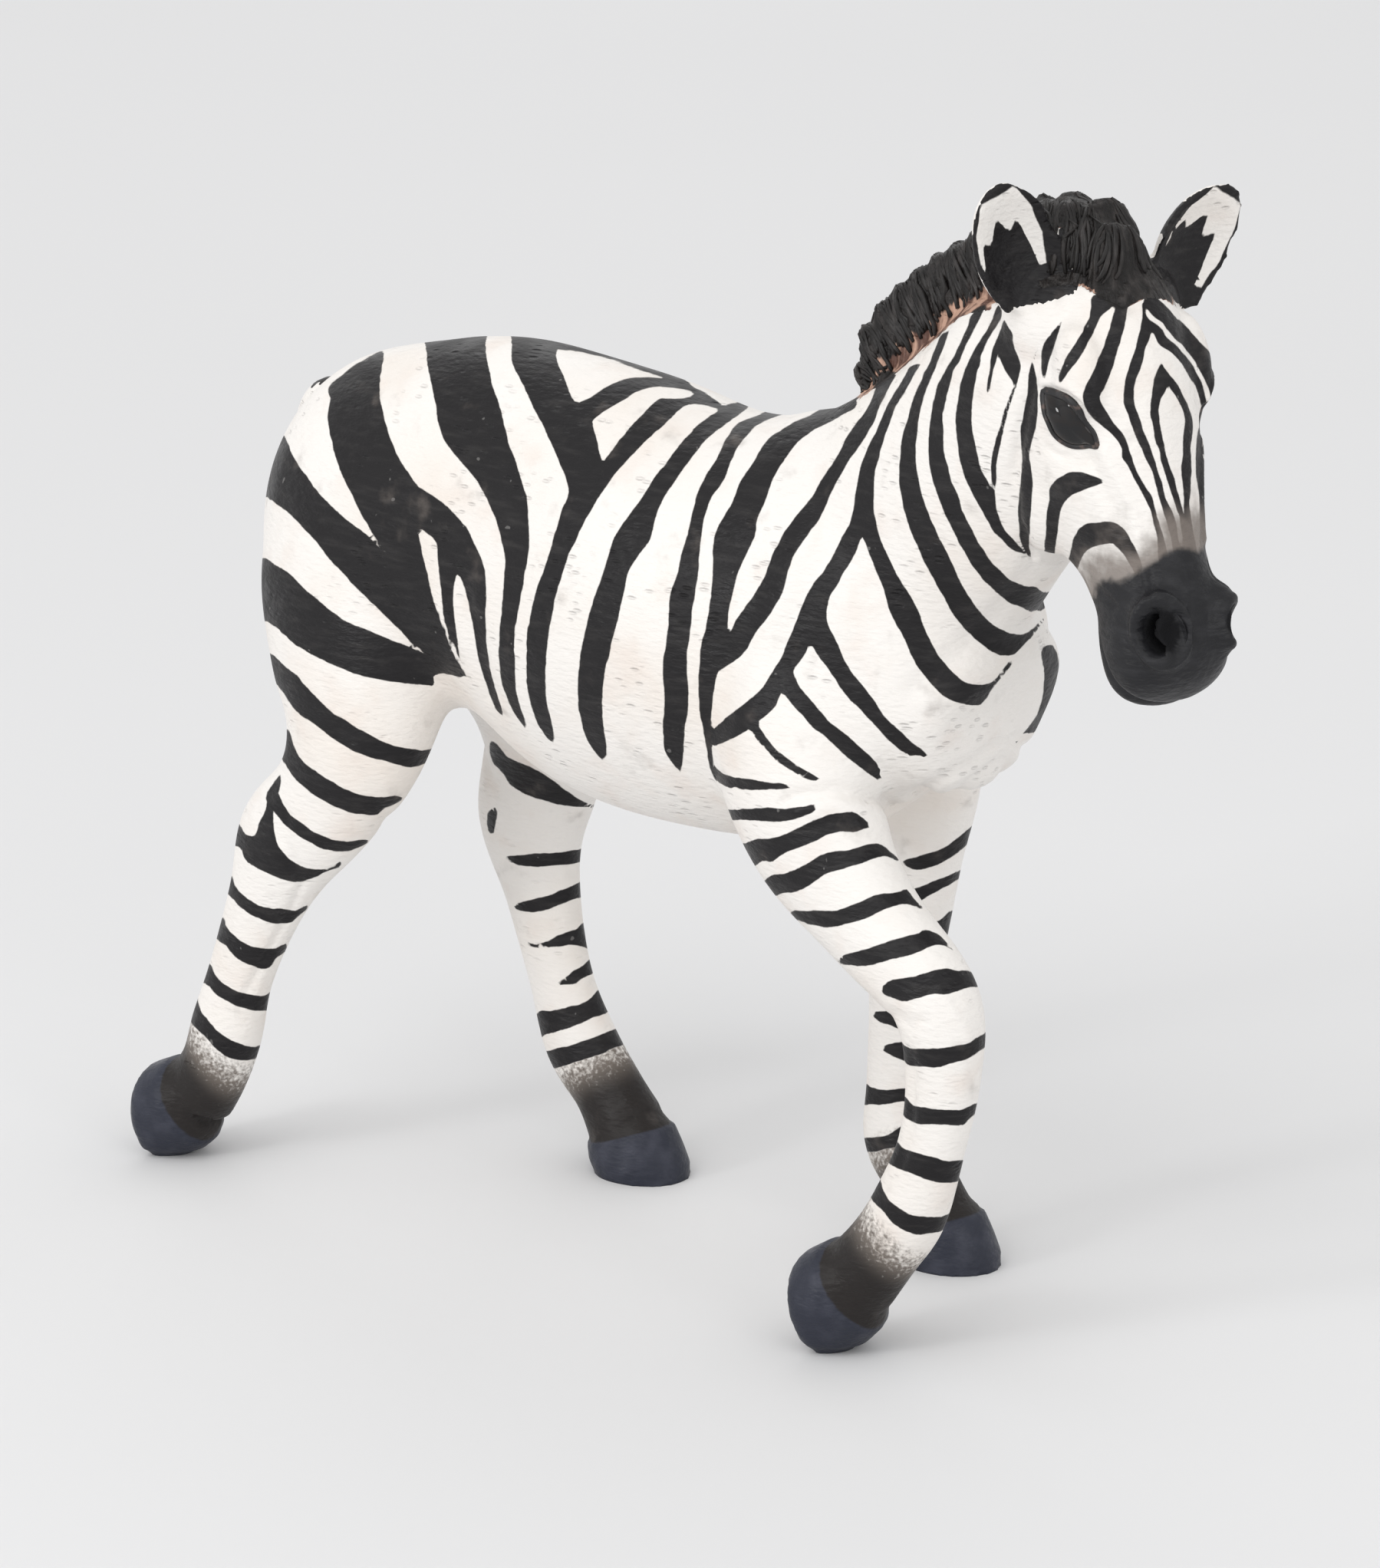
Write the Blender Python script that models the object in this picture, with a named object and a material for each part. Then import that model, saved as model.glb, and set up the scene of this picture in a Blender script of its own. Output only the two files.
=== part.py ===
"""Zebra figurine: one solid casting of a walking zebra that looks to its right.

The animal faces +X with its right side at -Y, and stands on z = 0.
Every form is a loft through a few sections; the lofts are fused with a voxel
remesh, as a sculptor fuses clay, and the soles are cut flat on the ground.
"""

import math

import bmesh
import bpy
import numpy as np

# Driving size, in metres
WITHERS_HEIGHT = 0.089

# The tables below are in millimetres for a figure 89 mm tall at the withers
TABLE_HEIGHT = 89.0
UNIT = WITHERS_HEIGHT / TABLE_HEIGHT

# How finely the forms are fused, as a share of the height, and how much is kept
VOXEL = WITHERS_HEIGHT / 127
RING_POINTS = 32
STEPS_PER_SPAN = 6
SMOOTH_PASSES = 3
FLESH_SMOOTH_PASSES = 40
FACE_SHARE = 0.08

# Where the middle of the finished figure's box falls in the tables' frame
BOX_CENTRE = (-2.98, -0.06)

PAINT_COLOUR = (0.80, 0.78, 0.74, 1.0)
PAINT_ROUGHNESS = 0.45
CREASE_DEGREES = 50.0

LEFT = np.array([0.0, 1.0, 0.0])

# Body sections: x, y, z, half width, reach up, reach down
TORSO = [
    (-58.0, 0, 67.0, 2.0, 3.0, 4.0),
    (-56.8, 0, 67.0, 6.0, 8.4, 9.0),
    (-54.0, 0, 67.0, 9.8, 13.0, 13.4),
    (-49.5, 0, 67.0, 12.8, 16.8, 16.4),
    (-43.0, 0, 67.0, 14.3, 19.4, 17.4),
    (-36.0, 0, 66.5, 14.8, 21.6, 15.6),
    (-28.0, 0, 66.0, 14.6, 22.8, 15.4),
    (-20.0, 0, 65.5, 15.2, 22.6, 19.2),
    (-11.0, 0, 64.5, 16.2, 22.4, 20.4),
    (-2.0, 0, 64.0, 16.2, 21.2, 20.2),
    (6.0, 0, 64.0, 15.2, 21.4, 19.6),
    (14.0, 0, 64.5, 13.6, 22.6, 18.5),
    (21.0, 0, 64.0, 12.6, 20.0, 16.0),
    (27.3, 0, 61.6, 11.2, 10.8, 12.4),
    (30.3, 0, 59.4, 8.8, 6.4, 8.4),
    (32.2, 0, 58.8, 2.8, 2.6, 3.2),
]

NECK = [
    (10.0, 0.0, 68.0, 8.5, 17.0, 13.0),
    (17.0, -0.5, 71.5, 9.6, 16.8, 13.6),
    (23.5, -1.2, 76.0, 9.2, 15.4, 12.6),
    (30.0, -2.6, 81.6, 8.0, 14.0, 11.2),
    (36.0, -4.4, 87.4, 6.9, 12.8, 10.2),
    (41.0, -5.8, 92.6, 6.4, 11.6, 9.2),
    (45.0, -6.6, 97.0, 5.6, 8.0, 8.0),
]

# Head: the poll's place, its turn to the right and its nose-down pitch in degrees
POLL = (50.6, -6.8, 106.4)
HEAD_TURN = 19.0
HEAD_PITCH = 70.0

# Head sections: distance down from the poll, face line, jaw line, half width
HEAD = [
    (-3.0, -4.0, -12.5, 3.2),
    (0.0, -1.2, -16.5, 5.4),
    (4.0, 0.2, -19.6, 7.0),
    (8.5, 0.8, -21.4, 7.7),
    (12.4, 0.6, -22.4, 7.8),
    (16.8, 0.1, -22.0, 7.2),
    (21.2, -0.4, -18.8, 6.0),
    (25.2, -0.7, -15.0, 4.9),
    (28.8, -0.7, -12.8, 5.1),
    (32.4, -0.9, -12.2, 5.7),
    (35.6, -1.9, -11.6, 5.4),
    (37.4, -3.8, -10.4, 4.0),
    (38.4, -6.2, -8.2, 1.7),
]
WIDEST_SHARE = 0.45

# Soft forms laid on each side of the head: down, out, sideways, then their three radii
HEAD_FORMS = {
    "brow": (8.8, -3.6, 5.6, 4.8, 2.8, 2.1),
    "eyeball": (11.9, -6.5, 6.1, 2.3, 1.8, 1.9),
    "cheek": (15.5, -14.0, 3.8, 8.0, 8.0, 3.6),
    "nostril_wing": (31.8, -2.8, 3.5, 3.6, 2.8, 1.9),
    "ear_root": (3.2, -8.6, 5.0, 4.8, 4.8, 3.4),
}

# Hollows pressed into each side: down, out, sideways, radius, depth
HEAD_HOLLOWS = {
    "nostril": (32.8, -1.8, 5.0, 1.5, 1.5),
    "inner_eye": (15.0, -4.8, 6.4, 1.8, 0.7),
}

# Leg sections: x, y, z, half width, reach forward, reach back
RIGHT_HIND = [
    (-42.0, -5.0, 74.0, 8.0, 11.0, 11.0),
    (-41.2, -7.4, 64.0, 8.0, 12.6, 13.6),
    (-40.4, -9.8, 54.5, 6.8, 10.8, 11.2),
    (-40.6, -11.3, 48.0, 5.3, 8.6, 8.2),
    (-43.5, -12.0, 42.0, 4.2, 6.6, 6.4),
    (-48.3, -12.4, 36.0, 3.8, 5.6, 6.8),
    (-51.8, -12.6, 29.5, 3.1, 4.3, 4.6),
    (-55.2, -12.8, 21.5, 2.7, 3.6, 3.9),
    (-57.3, -13.0, 15.0, 3.1, 4.0, 4.3),
    (-59.4, -13.0, 10.5, 3.1, 4.1, 3.8),
    (-61.8, -13.0, 7.0, 3.4, 4.2, 4.0),
]

LEFT_HIND = [
    (-42.0, 5.0, 74.0, 8.0, 11.0, 11.0),
    (-38.0, 7.6, 63.0, 8.2, 14.0, 13.5),
    (-34.8, 10.0, 51.5, 6.6, 11.0, 10.8),
    (-35.0, 11.4, 43.5, 4.8, 7.4, 8.0),
    (-37.2, 12.2, 35.0, 3.8, 5.8, 7.3),
    (-36.6, 12.6, 27.5, 3.1, 4.4, 4.6),
    (-34.4, 12.8, 19.0, 2.7, 3.7, 3.9),
    (-31.8, 13.0, 12.4, 3.2, 4.2, 4.4),
    (-28.2, 13.0, 8.0, 3.2, 4.0, 4.0),
    (-25.8, 13.0, 4.6, 3.8, 4.4, 4.2),
]

RIGHT_FORE = [
    (12.5, -7.0, 68.0, 6.0, 9.0, 9.0),
    (14.5, -9.6, 58.0, 6.2, 9.6, 9.2),
    (18.6, -11.4, 49.6, 5.2, 7.6, 7.8),
    (26.0, -12.3, 42.6, 4.2, 5.6, 5.6),
    (33.6, -12.8, 36.6, 3.8, 4.8, 4.4),
    (35.0, -12.9, 30.0, 3.1, 3.8, 3.9),
    (33.9, -13.0, 22.5, 2.6, 3.3, 3.5),
    (31.4, -13.0, 15.8, 3.0, 3.8, 3.9),
    (28.4, -13.0, 11.4, 3.1, 3.8, 3.7),
    (25.4, -13.0, 7.6, 3.4, 4.1, 4.0),
]

LEFT_FORE = [
    (11.0, 7.0, 68.0, 6.0, 9.0, 9.0),
    (11.4, 9.8, 57.5, 6.0, 10.0, 8.8),
    (11.4, 11.4, 48.0, 4.8, 8.6, 6.8),
    (11.3, 12.2, 40.0, 3.9, 5.8, 5.1),
    (10.8, 12.4, 32.5, 3.5, 4.4, 4.2),
    (10.3, 12.5, 25.0, 2.7, 3.5, 3.5),
    (10.0, 12.5, 17.0, 2.6, 3.2, 3.4),
    (10.4, 12.5, 11.5, 3.1, 3.8, 4.0),
    (12.8, 12.5, 7.7, 3.1, 3.9, 3.8),
    (14.6, 12.5, 4.4, 3.6, 4.2, 4.0),
]

# Hooves: x, y, z of the sole's middle, and how far the sole is tipped back
HOOVES = {
    "right_hind": (-66.4, -13.0, 4.4, 80.0),
    "left_hind": (-24.0, 13.0, 0.0, 0.0),
    "right_fore": (21.4, -13.0, 4.4, 72.0),
    "left_fore": (16.4, 12.5, 0.0, 0.0),
}
SOLE_HALF_WIDTH = 4.7
SOLE_FRONT = 5.8
SOLE_BACK = 4.8
HOOF_HEIGHT_FRONT = 6.2
HOOF_HEIGHT_BACK = 3.6
HOOF_SLOPE = 1.9
# Hoof sections: millimetres under the sole or share of the wall, size, share of the slope
HOOF_LEVELS = [
    (-0.9, 0.9, 0.0),
    (-0.35, 0.99, 0.0),
    (0.0, 1.0, 0.0),
    (0.5, 0.92, 0.45),
    (0.94, 0.82, 0.9),
    (1.0, 0.7, 1.0),
]

# Mane: the crest it stands on, from the withers to the forelock's end, its height,
# its half width and how far the locks lean back
MANE = [
    (18.2, -0.5, 88.6, 4.4, 1.6, 0.2),
    (20.6, -0.8, 91.4, 7.0, 2.0, 0.6),
    (25.0, -1.6, 94.8, 7.6, 2.2, 0.9),
    (30.0, -2.7, 97.8, 7.8, 2.3, 0.9),
    (35.5, -3.9, 100.8, 7.8, 2.5, 0.9),
    (40.6, -5.0, 103.2, 8.0, 2.8, 1.0),
    (44.4, -5.8, 104.4, 7.6, 3.3, 1.6),
    (47.4, -6.6, 104.6, 6.6, 3.7, 2.4),
    (49.8, -7.2, 103.8, 5.2, 3.7, 2.8),
    (51.2, -7.6, 102.4, 3.4, 3.0, 2.4),
]
MANE_LOCKS = 25
LOCK_STAGGER = 0.7
LOCK_POINTS = 12
SHORT_LOCK = 0.93
LOCK_FULLNESS = 0.72
# Lock sections: share of its height, share of its thickness
LOCK_LEVELS = [(-0.25, 0.8), (0.0, 1.0), (0.35, 1.0), (0.7, 0.86), (0.9, 0.6), (1.0, 0.25)]

# Ears: side, base in the head's frame (down, out, sideways), lean forward and outward
EARS = {
    "right_ear": (-1.0, 1.8, -6.4, 7.3, 0.1, 0.43),
    "left_ear": (1.0, 3.2, -6.2, 7.0, 0.14, 0.6),
}
EAR_LENGTH = 12.6
EAR_HALF_WIDTH = 4.3
EAR_DEPTH = 3.4
EAR_WALL = 1.5
EAR_WIDTHS = [(0.0, 0.62), (0.2, 0.86), (0.42, 1.0), (0.65, 0.92), (0.86, 0.66), (1.0, 0.22)]

# Tail: dock and tuft, hanging close behind the hindquarters
TAIL = [
    (-49.0, 0.0, 77.0, 2.4, 2.4, 2.4),
    (-53.6, 0.6, 79.2, 2.3, 2.3, 2.3),
    (-57.4, 1.8, 76.4, 2.1, 2.1, 2.1),
    (-59.6, 3.2, 69.0, 1.9, 1.9, 1.9),
    (-59.8, 4.0, 61.5, 2.0, 2.0, 2.0),
    (-59.2, 4.2, 54.0, 2.8, 2.6, 2.6),
    (-58.8, 4.2, 46.0, 3.2, 3.0, 3.0),
    (-58.8, 4.2, 39.0, 2.7, 2.6, 2.6),
    (-59.2, 4.2, 33.5, 0.9, 0.9, 0.9),
]


def smooth_stations(table, steps=STEPS_PER_SPAN):
    """Catmull-Rom curve through the table's rows, every column alike."""
    rows = np.array(table, float)
    padded = np.vstack([2 * rows[0] - rows[1], rows, 2 * rows[-1] - rows[-2]])
    out = []
    for i in range(1, len(padded) - 2):
        p0, p1, p2, p3 = padded[i - 1 : i + 3]
        for step in range(steps):
            t = step / steps
            out.append(
                0.5
                * (
                    2 * p1
                    + (p2 - p0) * t
                    + (2 * p0 - 5 * p1 + 4 * p2 - p3) * t**2
                    + (3 * p1 - p0 - 3 * p2 + p3) * t**3
                )
            )
    out.append(padded[-2])
    return np.array(out)


def unit(v):
    return v / np.linalg.norm(v)


class Mesh:
    """Points and faces gathered from several closed lofts."""

    def __init__(self):
        self.points = []
        self.faces = []

    def add_rings(self, rings):
        """Skins a closed body through rings of equally many points."""
        first = len(self.points)
        count = len(rings[0])
        for ring in rings:
            self.points.extend(ring)
        for r in range(len(rings) - 1):
            for k in range(count):
                a = first + r * count + k
                b = first + r * count + (k + 1) % count
                self.faces.append((a, b, b + count, a + count))
        for ring_index, flip in ((0, True), (len(rings) - 1, False)):
            middle = len(self.points)
            self.points.append(np.mean(rings[ring_index], axis=0))
            base = first + ring_index * count
            for k in range(count):
                a, b = base + k, base + (k + 1) % count
                self.faces.append((b, a, middle) if flip else (a, b, middle))

    def object(self, name):
        mesh = bpy.data.meshes.new(name)
        mesh.from_pydata([tuple(np.array(p) * UNIT) for p in self.points], [], self.faces)
        mesh.update()
        made = bpy.data.objects.new(name, mesh)
        bpy.context.scene.collection.objects.link(made)
        return made


def section_ring(centre, side, fore, half_width, reach_fore, reach_aft):
    """A ring of points round a section, in the plane of side and fore."""
    ring = []
    for k in range(RING_POINTS):
        a = 2 * math.pi * k / RING_POINTS
        reach = reach_fore if math.sin(a) > 0 else reach_aft
        ring.append(centre + side * half_width * math.cos(a) + fore * reach * math.sin(a))
    return ring


def loft(mesh, table, left=LEFT):
    """Lofts sections square to their own centre line; fore is T x left."""
    rows = smooth_stations(table)
    centres = rows[:, :3]
    tangents = np.gradient(centres, axis=0)
    rings = []
    for row, tangent in zip(rows, tangents):
        along = unit(tangent)
        side = unit(left - along * (left @ along))
        fore = np.cross(along, side)
        rings.append(section_ring(row[:3], side, fore, *row[3:6]))
    mesh.add_rings(rings)


def head_frame():
    """Poll point and the head's own axes: down the nose, out of the face, left."""
    turn, pitch = math.radians(HEAD_TURN), math.radians(HEAD_PITCH)
    heading = np.array([math.cos(turn), -math.sin(turn), 0.0])
    up = np.array([0.0, 0.0, 1.0])
    nose = math.cos(pitch) * heading - math.sin(pitch) * up
    face = math.sin(pitch) * heading + math.cos(pitch) * up
    left = np.cross(up, heading)
    return np.array(POLL), nose, face, left


def add_ellipsoid(mesh, centre, axes, radii):
    rings = []
    for level in np.linspace(-0.98, 0.98, 11):
        size = math.sqrt(1 - level * level)
        ring = []
        for k in range(RING_POINTS):
            t = 2 * math.pi * k / RING_POINTS
            across = axes[1] * radii[1] * math.cos(t) + axes[2] * radii[2] * math.sin(t)
            ring.append(centre + axes[0] * radii[0] * level + across * size)
        rings.append(ring)
    mesh.add_rings(rings)


def add_head(mesh):
    poll, nose, face, left = head_frame()
    rings = []
    for along, face_line, jaw_line, half_width in smooth_stations(HEAD):
        depth = face_line - jaw_line
        front = depth * WIDEST_SHARE
        centre = poll + nose * along + face * (face_line - front)
        rings.append(section_ring(centre, left, face, half_width, front, depth - front))
    mesh.add_rings(rings)
    for down, out, sideways, *radii in HEAD_FORMS.values():
        for hand in (-1, 1):
            centre = poll + nose * down + face * out + left * hand * sideways
            add_ellipsoid(mesh, centre, (nose, face, left), radii)


def add_ears(mesh):
    """Two cupped leaves whose hollows face forward."""
    poll, nose, face, left = head_frame()
    heading = np.cross(left, [0.0, 0.0, 1.0])
    for hand, down, out, sideways, lean_forward, lean_out in EARS.values():
        base = poll + nose * down + face * out + left * hand * sideways
        axis = unit(heading * lean_forward + left * hand * lean_out + np.array([0.0, 0.0, 1.0]))
        across = unit(left - axis * (left @ axis))
        back = np.cross(across, axis)
        back = back if back @ heading < 0 else -back
        rings = []
        for share, width in smooth_stations(EAR_WIDTHS, 4):
            centre = base + axis * share * EAR_LENGTH
            half = EAR_HALF_WIDTH * width
            depth = EAR_DEPTH * width
            wall = min(EAR_WALL, depth * 0.8)
            ring = []
            for k in range(RING_POINTS):
                t = 2 * math.pi * k / RING_POINTS
                if math.sin(t) > 0:
                    bow = depth * math.sin(t)
                else:
                    bow = (wall - depth) * math.sin(t) - 0.25 * wall
                ring.append(centre + across * half * math.cos(t) + back * bow)
            rings.append(ring)
        mesh.add_rings(rings)


def add_mane(mesh):
    """A row of upright locks on the crest, staggered left and right."""
    rows = smooth_stations(MANE)
    lengths = np.concatenate([[0], np.cumsum(np.linalg.norm(np.diff(rows[:, :3], axis=0), axis=1))])
    for k in range(MANE_LOCKS):
        at = lengths[-1] * (k + 0.5) / MANE_LOCKS
        row = np.array([np.interp(at, lengths, rows[:, c]) for c in range(6)])
        ahead = np.array([np.interp(at + 0.5, lengths, rows[:, c]) for c in range(3)])
        behind = np.array([np.interp(at - 0.5, lengths, rows[:, c]) for c in range(3)])
        along = unit(ahead - behind)
        across = unit(LEFT - along * (LEFT @ along))
        up = np.cross(along, across)
        height = row[3] * (1.0 if k % 2 else SHORT_LOCK)
        shift = across * LOCK_STAGGER * (1 if k % 2 else -1)
        length = LOCK_FULLNESS * lengths[-1] / MANE_LOCKS
        rings = []
        for share, size in LOCK_LEVELS:
            risen = max(share, 0)
            centre = row[:3] + up * share * height + shift * risen - along * row[5] * risen**2
            ring = []
            for t in np.linspace(0, 2 * math.pi, LOCK_POINTS, endpoint=False):
                around = along * length * math.cos(t) + across * row[4] * math.sin(t)
                ring.append(centre + around * size)
            rings.append(ring)
        mesh.add_rings(rings)


def add_hoof(mesh, x, y, z, tip):
    """A hoof wall from the sole up to the coronet, tipped on its toe by tip degrees."""
    a = math.radians(tip)
    toe = np.array([math.cos(a), 0.0, -math.sin(a)])
    up = np.array([math.sin(a), 0.0, math.cos(a)])
    centre = np.array([x, y, z])
    rings = []
    for level, size, lean in HOOF_LEVELS:
        ring = []
        for k in range(RING_POINTS):
            t = 2 * math.pi * k / RING_POINTS
            forward = math.cos(t) * (SOLE_FRONT if math.cos(t) > 0 else SOLE_BACK)
            height = HOOF_HEIGHT_BACK + (HOOF_HEIGHT_FRONT - HOOF_HEIGHT_BACK) * (0.5 + 0.5 * math.cos(t))
            rise = level * height if level > 0 else level
            ring.append(
                centre
                + toe * (forward * size - HOOF_SLOPE * lean)
                + LEFT * SOLE_HALF_WIDTH * size * math.sin(t)
                + up * rise
            )
        rings.append(ring)
    mesh.add_rings(rings)


def ease(value, low, high):
    """Rises smoothly from 0 at low to 1 at high."""
    t = np.clip((value - low) / (high - low), 0, 1)
    return t * t * (3 - 2 * t)


def distance_to_path(points, path):
    """Distance of each point from a chain of path points."""
    gaps = points[:, None, :] - path[None, :, :]
    return np.sqrt((gaps**2).sum(2)).min(1)


def flesh_weights(points):
    """One on the trunk and upper legs, nought on the head, mane, tail and lower legs."""
    mane = smooth_stations(MANE)[:, :3] + [0, 0, 4.0]
    tail = smooth_stations(TAIL)[:, :3]
    poll, nose, face, left = head_frame()
    head = np.array([poll + nose * down - face * 9.0 for down in (0, 8, 16, 24, 32)])
    weights = ease(points[:, 2], 34.0, 46.0)
    weights *= ease(distance_to_path(points, mane), 5.0, 9.0)
    weights *= ease(distance_to_path(points, tail), 3.0, 6.0)
    return weights * ease(distance_to_path(points, head), 11.0, 15.0)


def press_hollows(points):
    """Moves the skin inwards at each hollow of the head, on both sides."""
    poll, nose, face, left = head_frame()
    for down, out, sideways, radius, depth in HEAD_HOLLOWS.values():
        for hand in (-1, 1):
            centre = poll + nose * down + face * out + left * hand * sideways
            reach = np.linalg.norm(points - centre, axis=1) / (2 * radius)
            push = depth * np.exp(-((2 * reach) ** 2))
            points -= left * hand * push[:, None]


def cut_flat(zebra):
    """Cuts the feet off on the ground plane and closes them with flat soles."""
    cut = bmesh.new()
    cut.from_mesh(zebra.data)
    everything = cut.verts[:] + cut.edges[:] + cut.faces[:]
    result = bmesh.ops.bisect_plane(
        cut, geom=everything, plane_co=(0, 0, 0), plane_no=(0, 0, 1), clear_inner=True
    )
    rim = [e for e in result["geom_cut"] if isinstance(e, bmesh.types.BMEdge)]
    bmesh.ops.holes_fill(cut, edges=rim)
    bmesh.ops.triangulate(cut, faces=cut.faces[:])
    cut.to_mesh(zebra.data)
    cut.free()


def apply_modifiers(made):
    """Swaps the object's mesh for what its modifiers make of it."""
    graph = bpy.context.evaluated_depsgraph_get()
    evaluated = made.evaluated_get(graph)
    mesh = bpy.data.meshes.new_from_object(evaluated)
    made.modifiers.clear()
    made.data = mesh


def paint(made):
    """One plain satin coat; scene.py carries the markings."""
    coat = bpy.data.materials.new("painted_plastic")
    coat.use_nodes = True
    shader = coat.node_tree.nodes["Principled BSDF"]
    shader.inputs["Base Color"].default_value = PAINT_COLOUR
    shader.inputs["Roughness"].default_value = PAINT_ROUGHNESS
    made.data.materials.clear()
    made.data.materials.append(coat)
    made.data.shade_smooth()
    made.data.set_sharp_from_angle(angle=math.radians(CREASE_DEGREES))


def add_smooth(made, factor, passes, group=None):
    smooth = made.modifiers.new("smooth", "SMOOTH")
    smooth.factor = factor
    smooth.iterations = passes
    if group:
        smooth.vertex_group = group


def main():
    for old in list(bpy.data.objects):
        bpy.data.objects.remove(old, do_unlink=True)
    mesh = Mesh()
    loft(mesh, TORSO)
    loft(mesh, NECK)
    add_head(mesh)
    for leg in (RIGHT_HIND, LEFT_HIND, RIGHT_FORE, LEFT_FORE):
        loft(mesh, leg)
    for hoof in HOOVES.values():
        add_hoof(mesh, *hoof)
    add_ears(mesh)
    add_mane(mesh)
    loft(mesh, TAIL)
    zebra = mesh.object("zebra_figurine")
    remesh = zebra.modifiers.new("fuse", "REMESH")
    remesh.mode = "VOXEL"
    remesh.voxel_size = VOXEL
    apply_modifiers(zebra)

    points = np.array([v.co for v in zebra.data.vertices]) / UNIT
    press_hollows(points)
    for vertex, point in zip(zebra.data.vertices, points):
        vertex.co = point * UNIT
    flesh = zebra.vertex_groups.new(name="flesh")
    for index, weight in enumerate(flesh_weights(points)):
        flesh.add([index], weight, "REPLACE")
    add_smooth(zebra, 0.5, FLESH_SMOOTH_PASSES, "flesh")
    add_smooth(zebra, 0.5, SMOOTH_PASSES)
    zebra.modifiers.new("thin", "DECIMATE").ratio = FACE_SHARE
    apply_modifiers(zebra)
    cut_flat(zebra)
    for vertex in zebra.data.vertices:
        vertex.co.x -= BOX_CENTRE[0] * UNIT
        vertex.co.y -= BOX_CENTRE[1] * UNIT
    paint(zebra)


main()
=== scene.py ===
"""Looks of the zebra figurine: a painted casting of a walking zebra.

The skin is lofted from the same sections as the CAD solid, then fused finer,
carved and painted. The stripes were outlined in the photograph's pixels
and listed below; they are thrown onto the skin from the photograph's camera.
"""

import math
from itertools import repeat

import bmesh
import bpy
import numpy as np
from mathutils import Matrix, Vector
from mathutils.bvhtree import BVHTree


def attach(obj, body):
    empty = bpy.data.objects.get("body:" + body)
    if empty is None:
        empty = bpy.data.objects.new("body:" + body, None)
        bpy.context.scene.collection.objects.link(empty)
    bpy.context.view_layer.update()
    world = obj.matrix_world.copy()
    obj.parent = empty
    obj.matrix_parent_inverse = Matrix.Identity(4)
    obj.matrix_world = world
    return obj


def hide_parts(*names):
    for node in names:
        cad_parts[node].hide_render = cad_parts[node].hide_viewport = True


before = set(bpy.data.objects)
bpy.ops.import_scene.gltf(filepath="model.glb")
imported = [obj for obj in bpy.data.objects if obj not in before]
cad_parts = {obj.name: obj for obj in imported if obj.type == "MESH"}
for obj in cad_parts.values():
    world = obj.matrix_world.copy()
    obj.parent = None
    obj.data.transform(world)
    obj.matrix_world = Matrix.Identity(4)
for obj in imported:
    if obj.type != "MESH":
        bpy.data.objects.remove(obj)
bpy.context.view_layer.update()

# The photograph and the camera that took it, in the tables' frame and in millimetres
PHOTO_WIDTH = 1799
PHOTO_HEIGHT = 2044
PIXELS_PER_RADIAN = 7500.0
CAMERA_AZIMUTH = 40.0
CAMERA_ELEVATION = 15.5
CAMERA_DISTANCE = 550.0
CAMERA_TARGET = (0.0, -7.5, 50.0)
SENSOR_HEIGHT = 36.0

# The tables below are in millimetres for a figure 89 mm tall at the withers; the packed
# frame's origin lies under the middle of the solid's box
WITHERS_HEIGHT = 0.089
TABLE_HEIGHT = 89.0
UNIT = WITHERS_HEIGHT / TABLE_HEIGHT
BOX_CENTRE = (-2.98, -0.06)

# The skin: its voxels in metres, points round a section, steps along a loft, smoothing
VOXEL = WITHERS_HEIGHT / 160
RING_POINTS = 48
STEPS_PER_SPAN = 8
SMOOTH_PASSES = 4
FLESH_SMOOTH_PASSES = 60
SMOOTH_FACTOR = 0.5
# Where the flesh smoothing sets in: above the legs' height, and off the mane, tail and head,
# whose middles lie this far over the crest and under the face at these stops down the nose
FLESH_OVER_LEGS = (34.0, 46.0)
FLESH_OFF_MANE = (5.0, 9.0)
FLESH_OFF_TAIL = (3.0, 6.0)
FLESH_OFF_HEAD = (11.0, 15.0)
MANE_MIDDLE = 4.0
HEAD_MIDDLE = 9.0
HEAD_STOPS = (0, 8, 16, 24, 32)
LEFT = np.array([0.0, 1.0, 0.0])

# How far a marking's edge and the muzzle's smudge are followed, and a photograph pixel's size
INK_REACH = 1.5
SMUDGE_REACH = 7.0
MM_PER_PIXEL = CAMERA_DISTANCE / PIXELS_PER_RADIAN
# Turn towards the camera over which mirrored paint gives way to seen paint, and guessed
# bands to seen ones
SEEN_TURN = (-0.04, 0.1)
OUTER_TURN = (-0.25, 0.05)
# White belly: how far the skin faces down, and its top
BELLY_TURN = (0.35, 0.7)
BELLY_TOP = 58.0
# Above this height the neck's own middle is the mirror
NECK_LEVEL = 68.0
# Heights over which the far legs' own markings give way to the trunk's
FAR_LEG_TOPS = {"left_hind": (54.0, 58.0), "left_fore": (52.0, 56.0)}
# Guessed bands on the outside of the far legs: height and half width
OUTER_BANDS = {
    "left_hind": [(53.5, 1.5), (48.6, 1.4), (43.8, 1.3)],
    "left_fore": [(52.6, 1.2), (48.4, 1.3), (44.2, 1.3), (31.0, 1.1), (35.4, 1.1)],
}
BAND_WAVE = 0.7
BAND_PACE = 0.5
BAND_SLANT = 0.12
BAND_TAPER = 0.12
# Where the head's and the neck's markings both count, as shares of their radii
SEAM_HEAD = 1.5
SEAM_NECK = 1.6
# The least radius of a body part, and half the thickness of a slice of the head
LEAST_RADIUS = 1.5
HEAD_SLICE = 3.0
# White under the jaw: depth below the face, and half width
CHIN_DEPTH = (16.0, 21.0)
CHIN_HALF_WIDTH = (2.0, 4.0)
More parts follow.
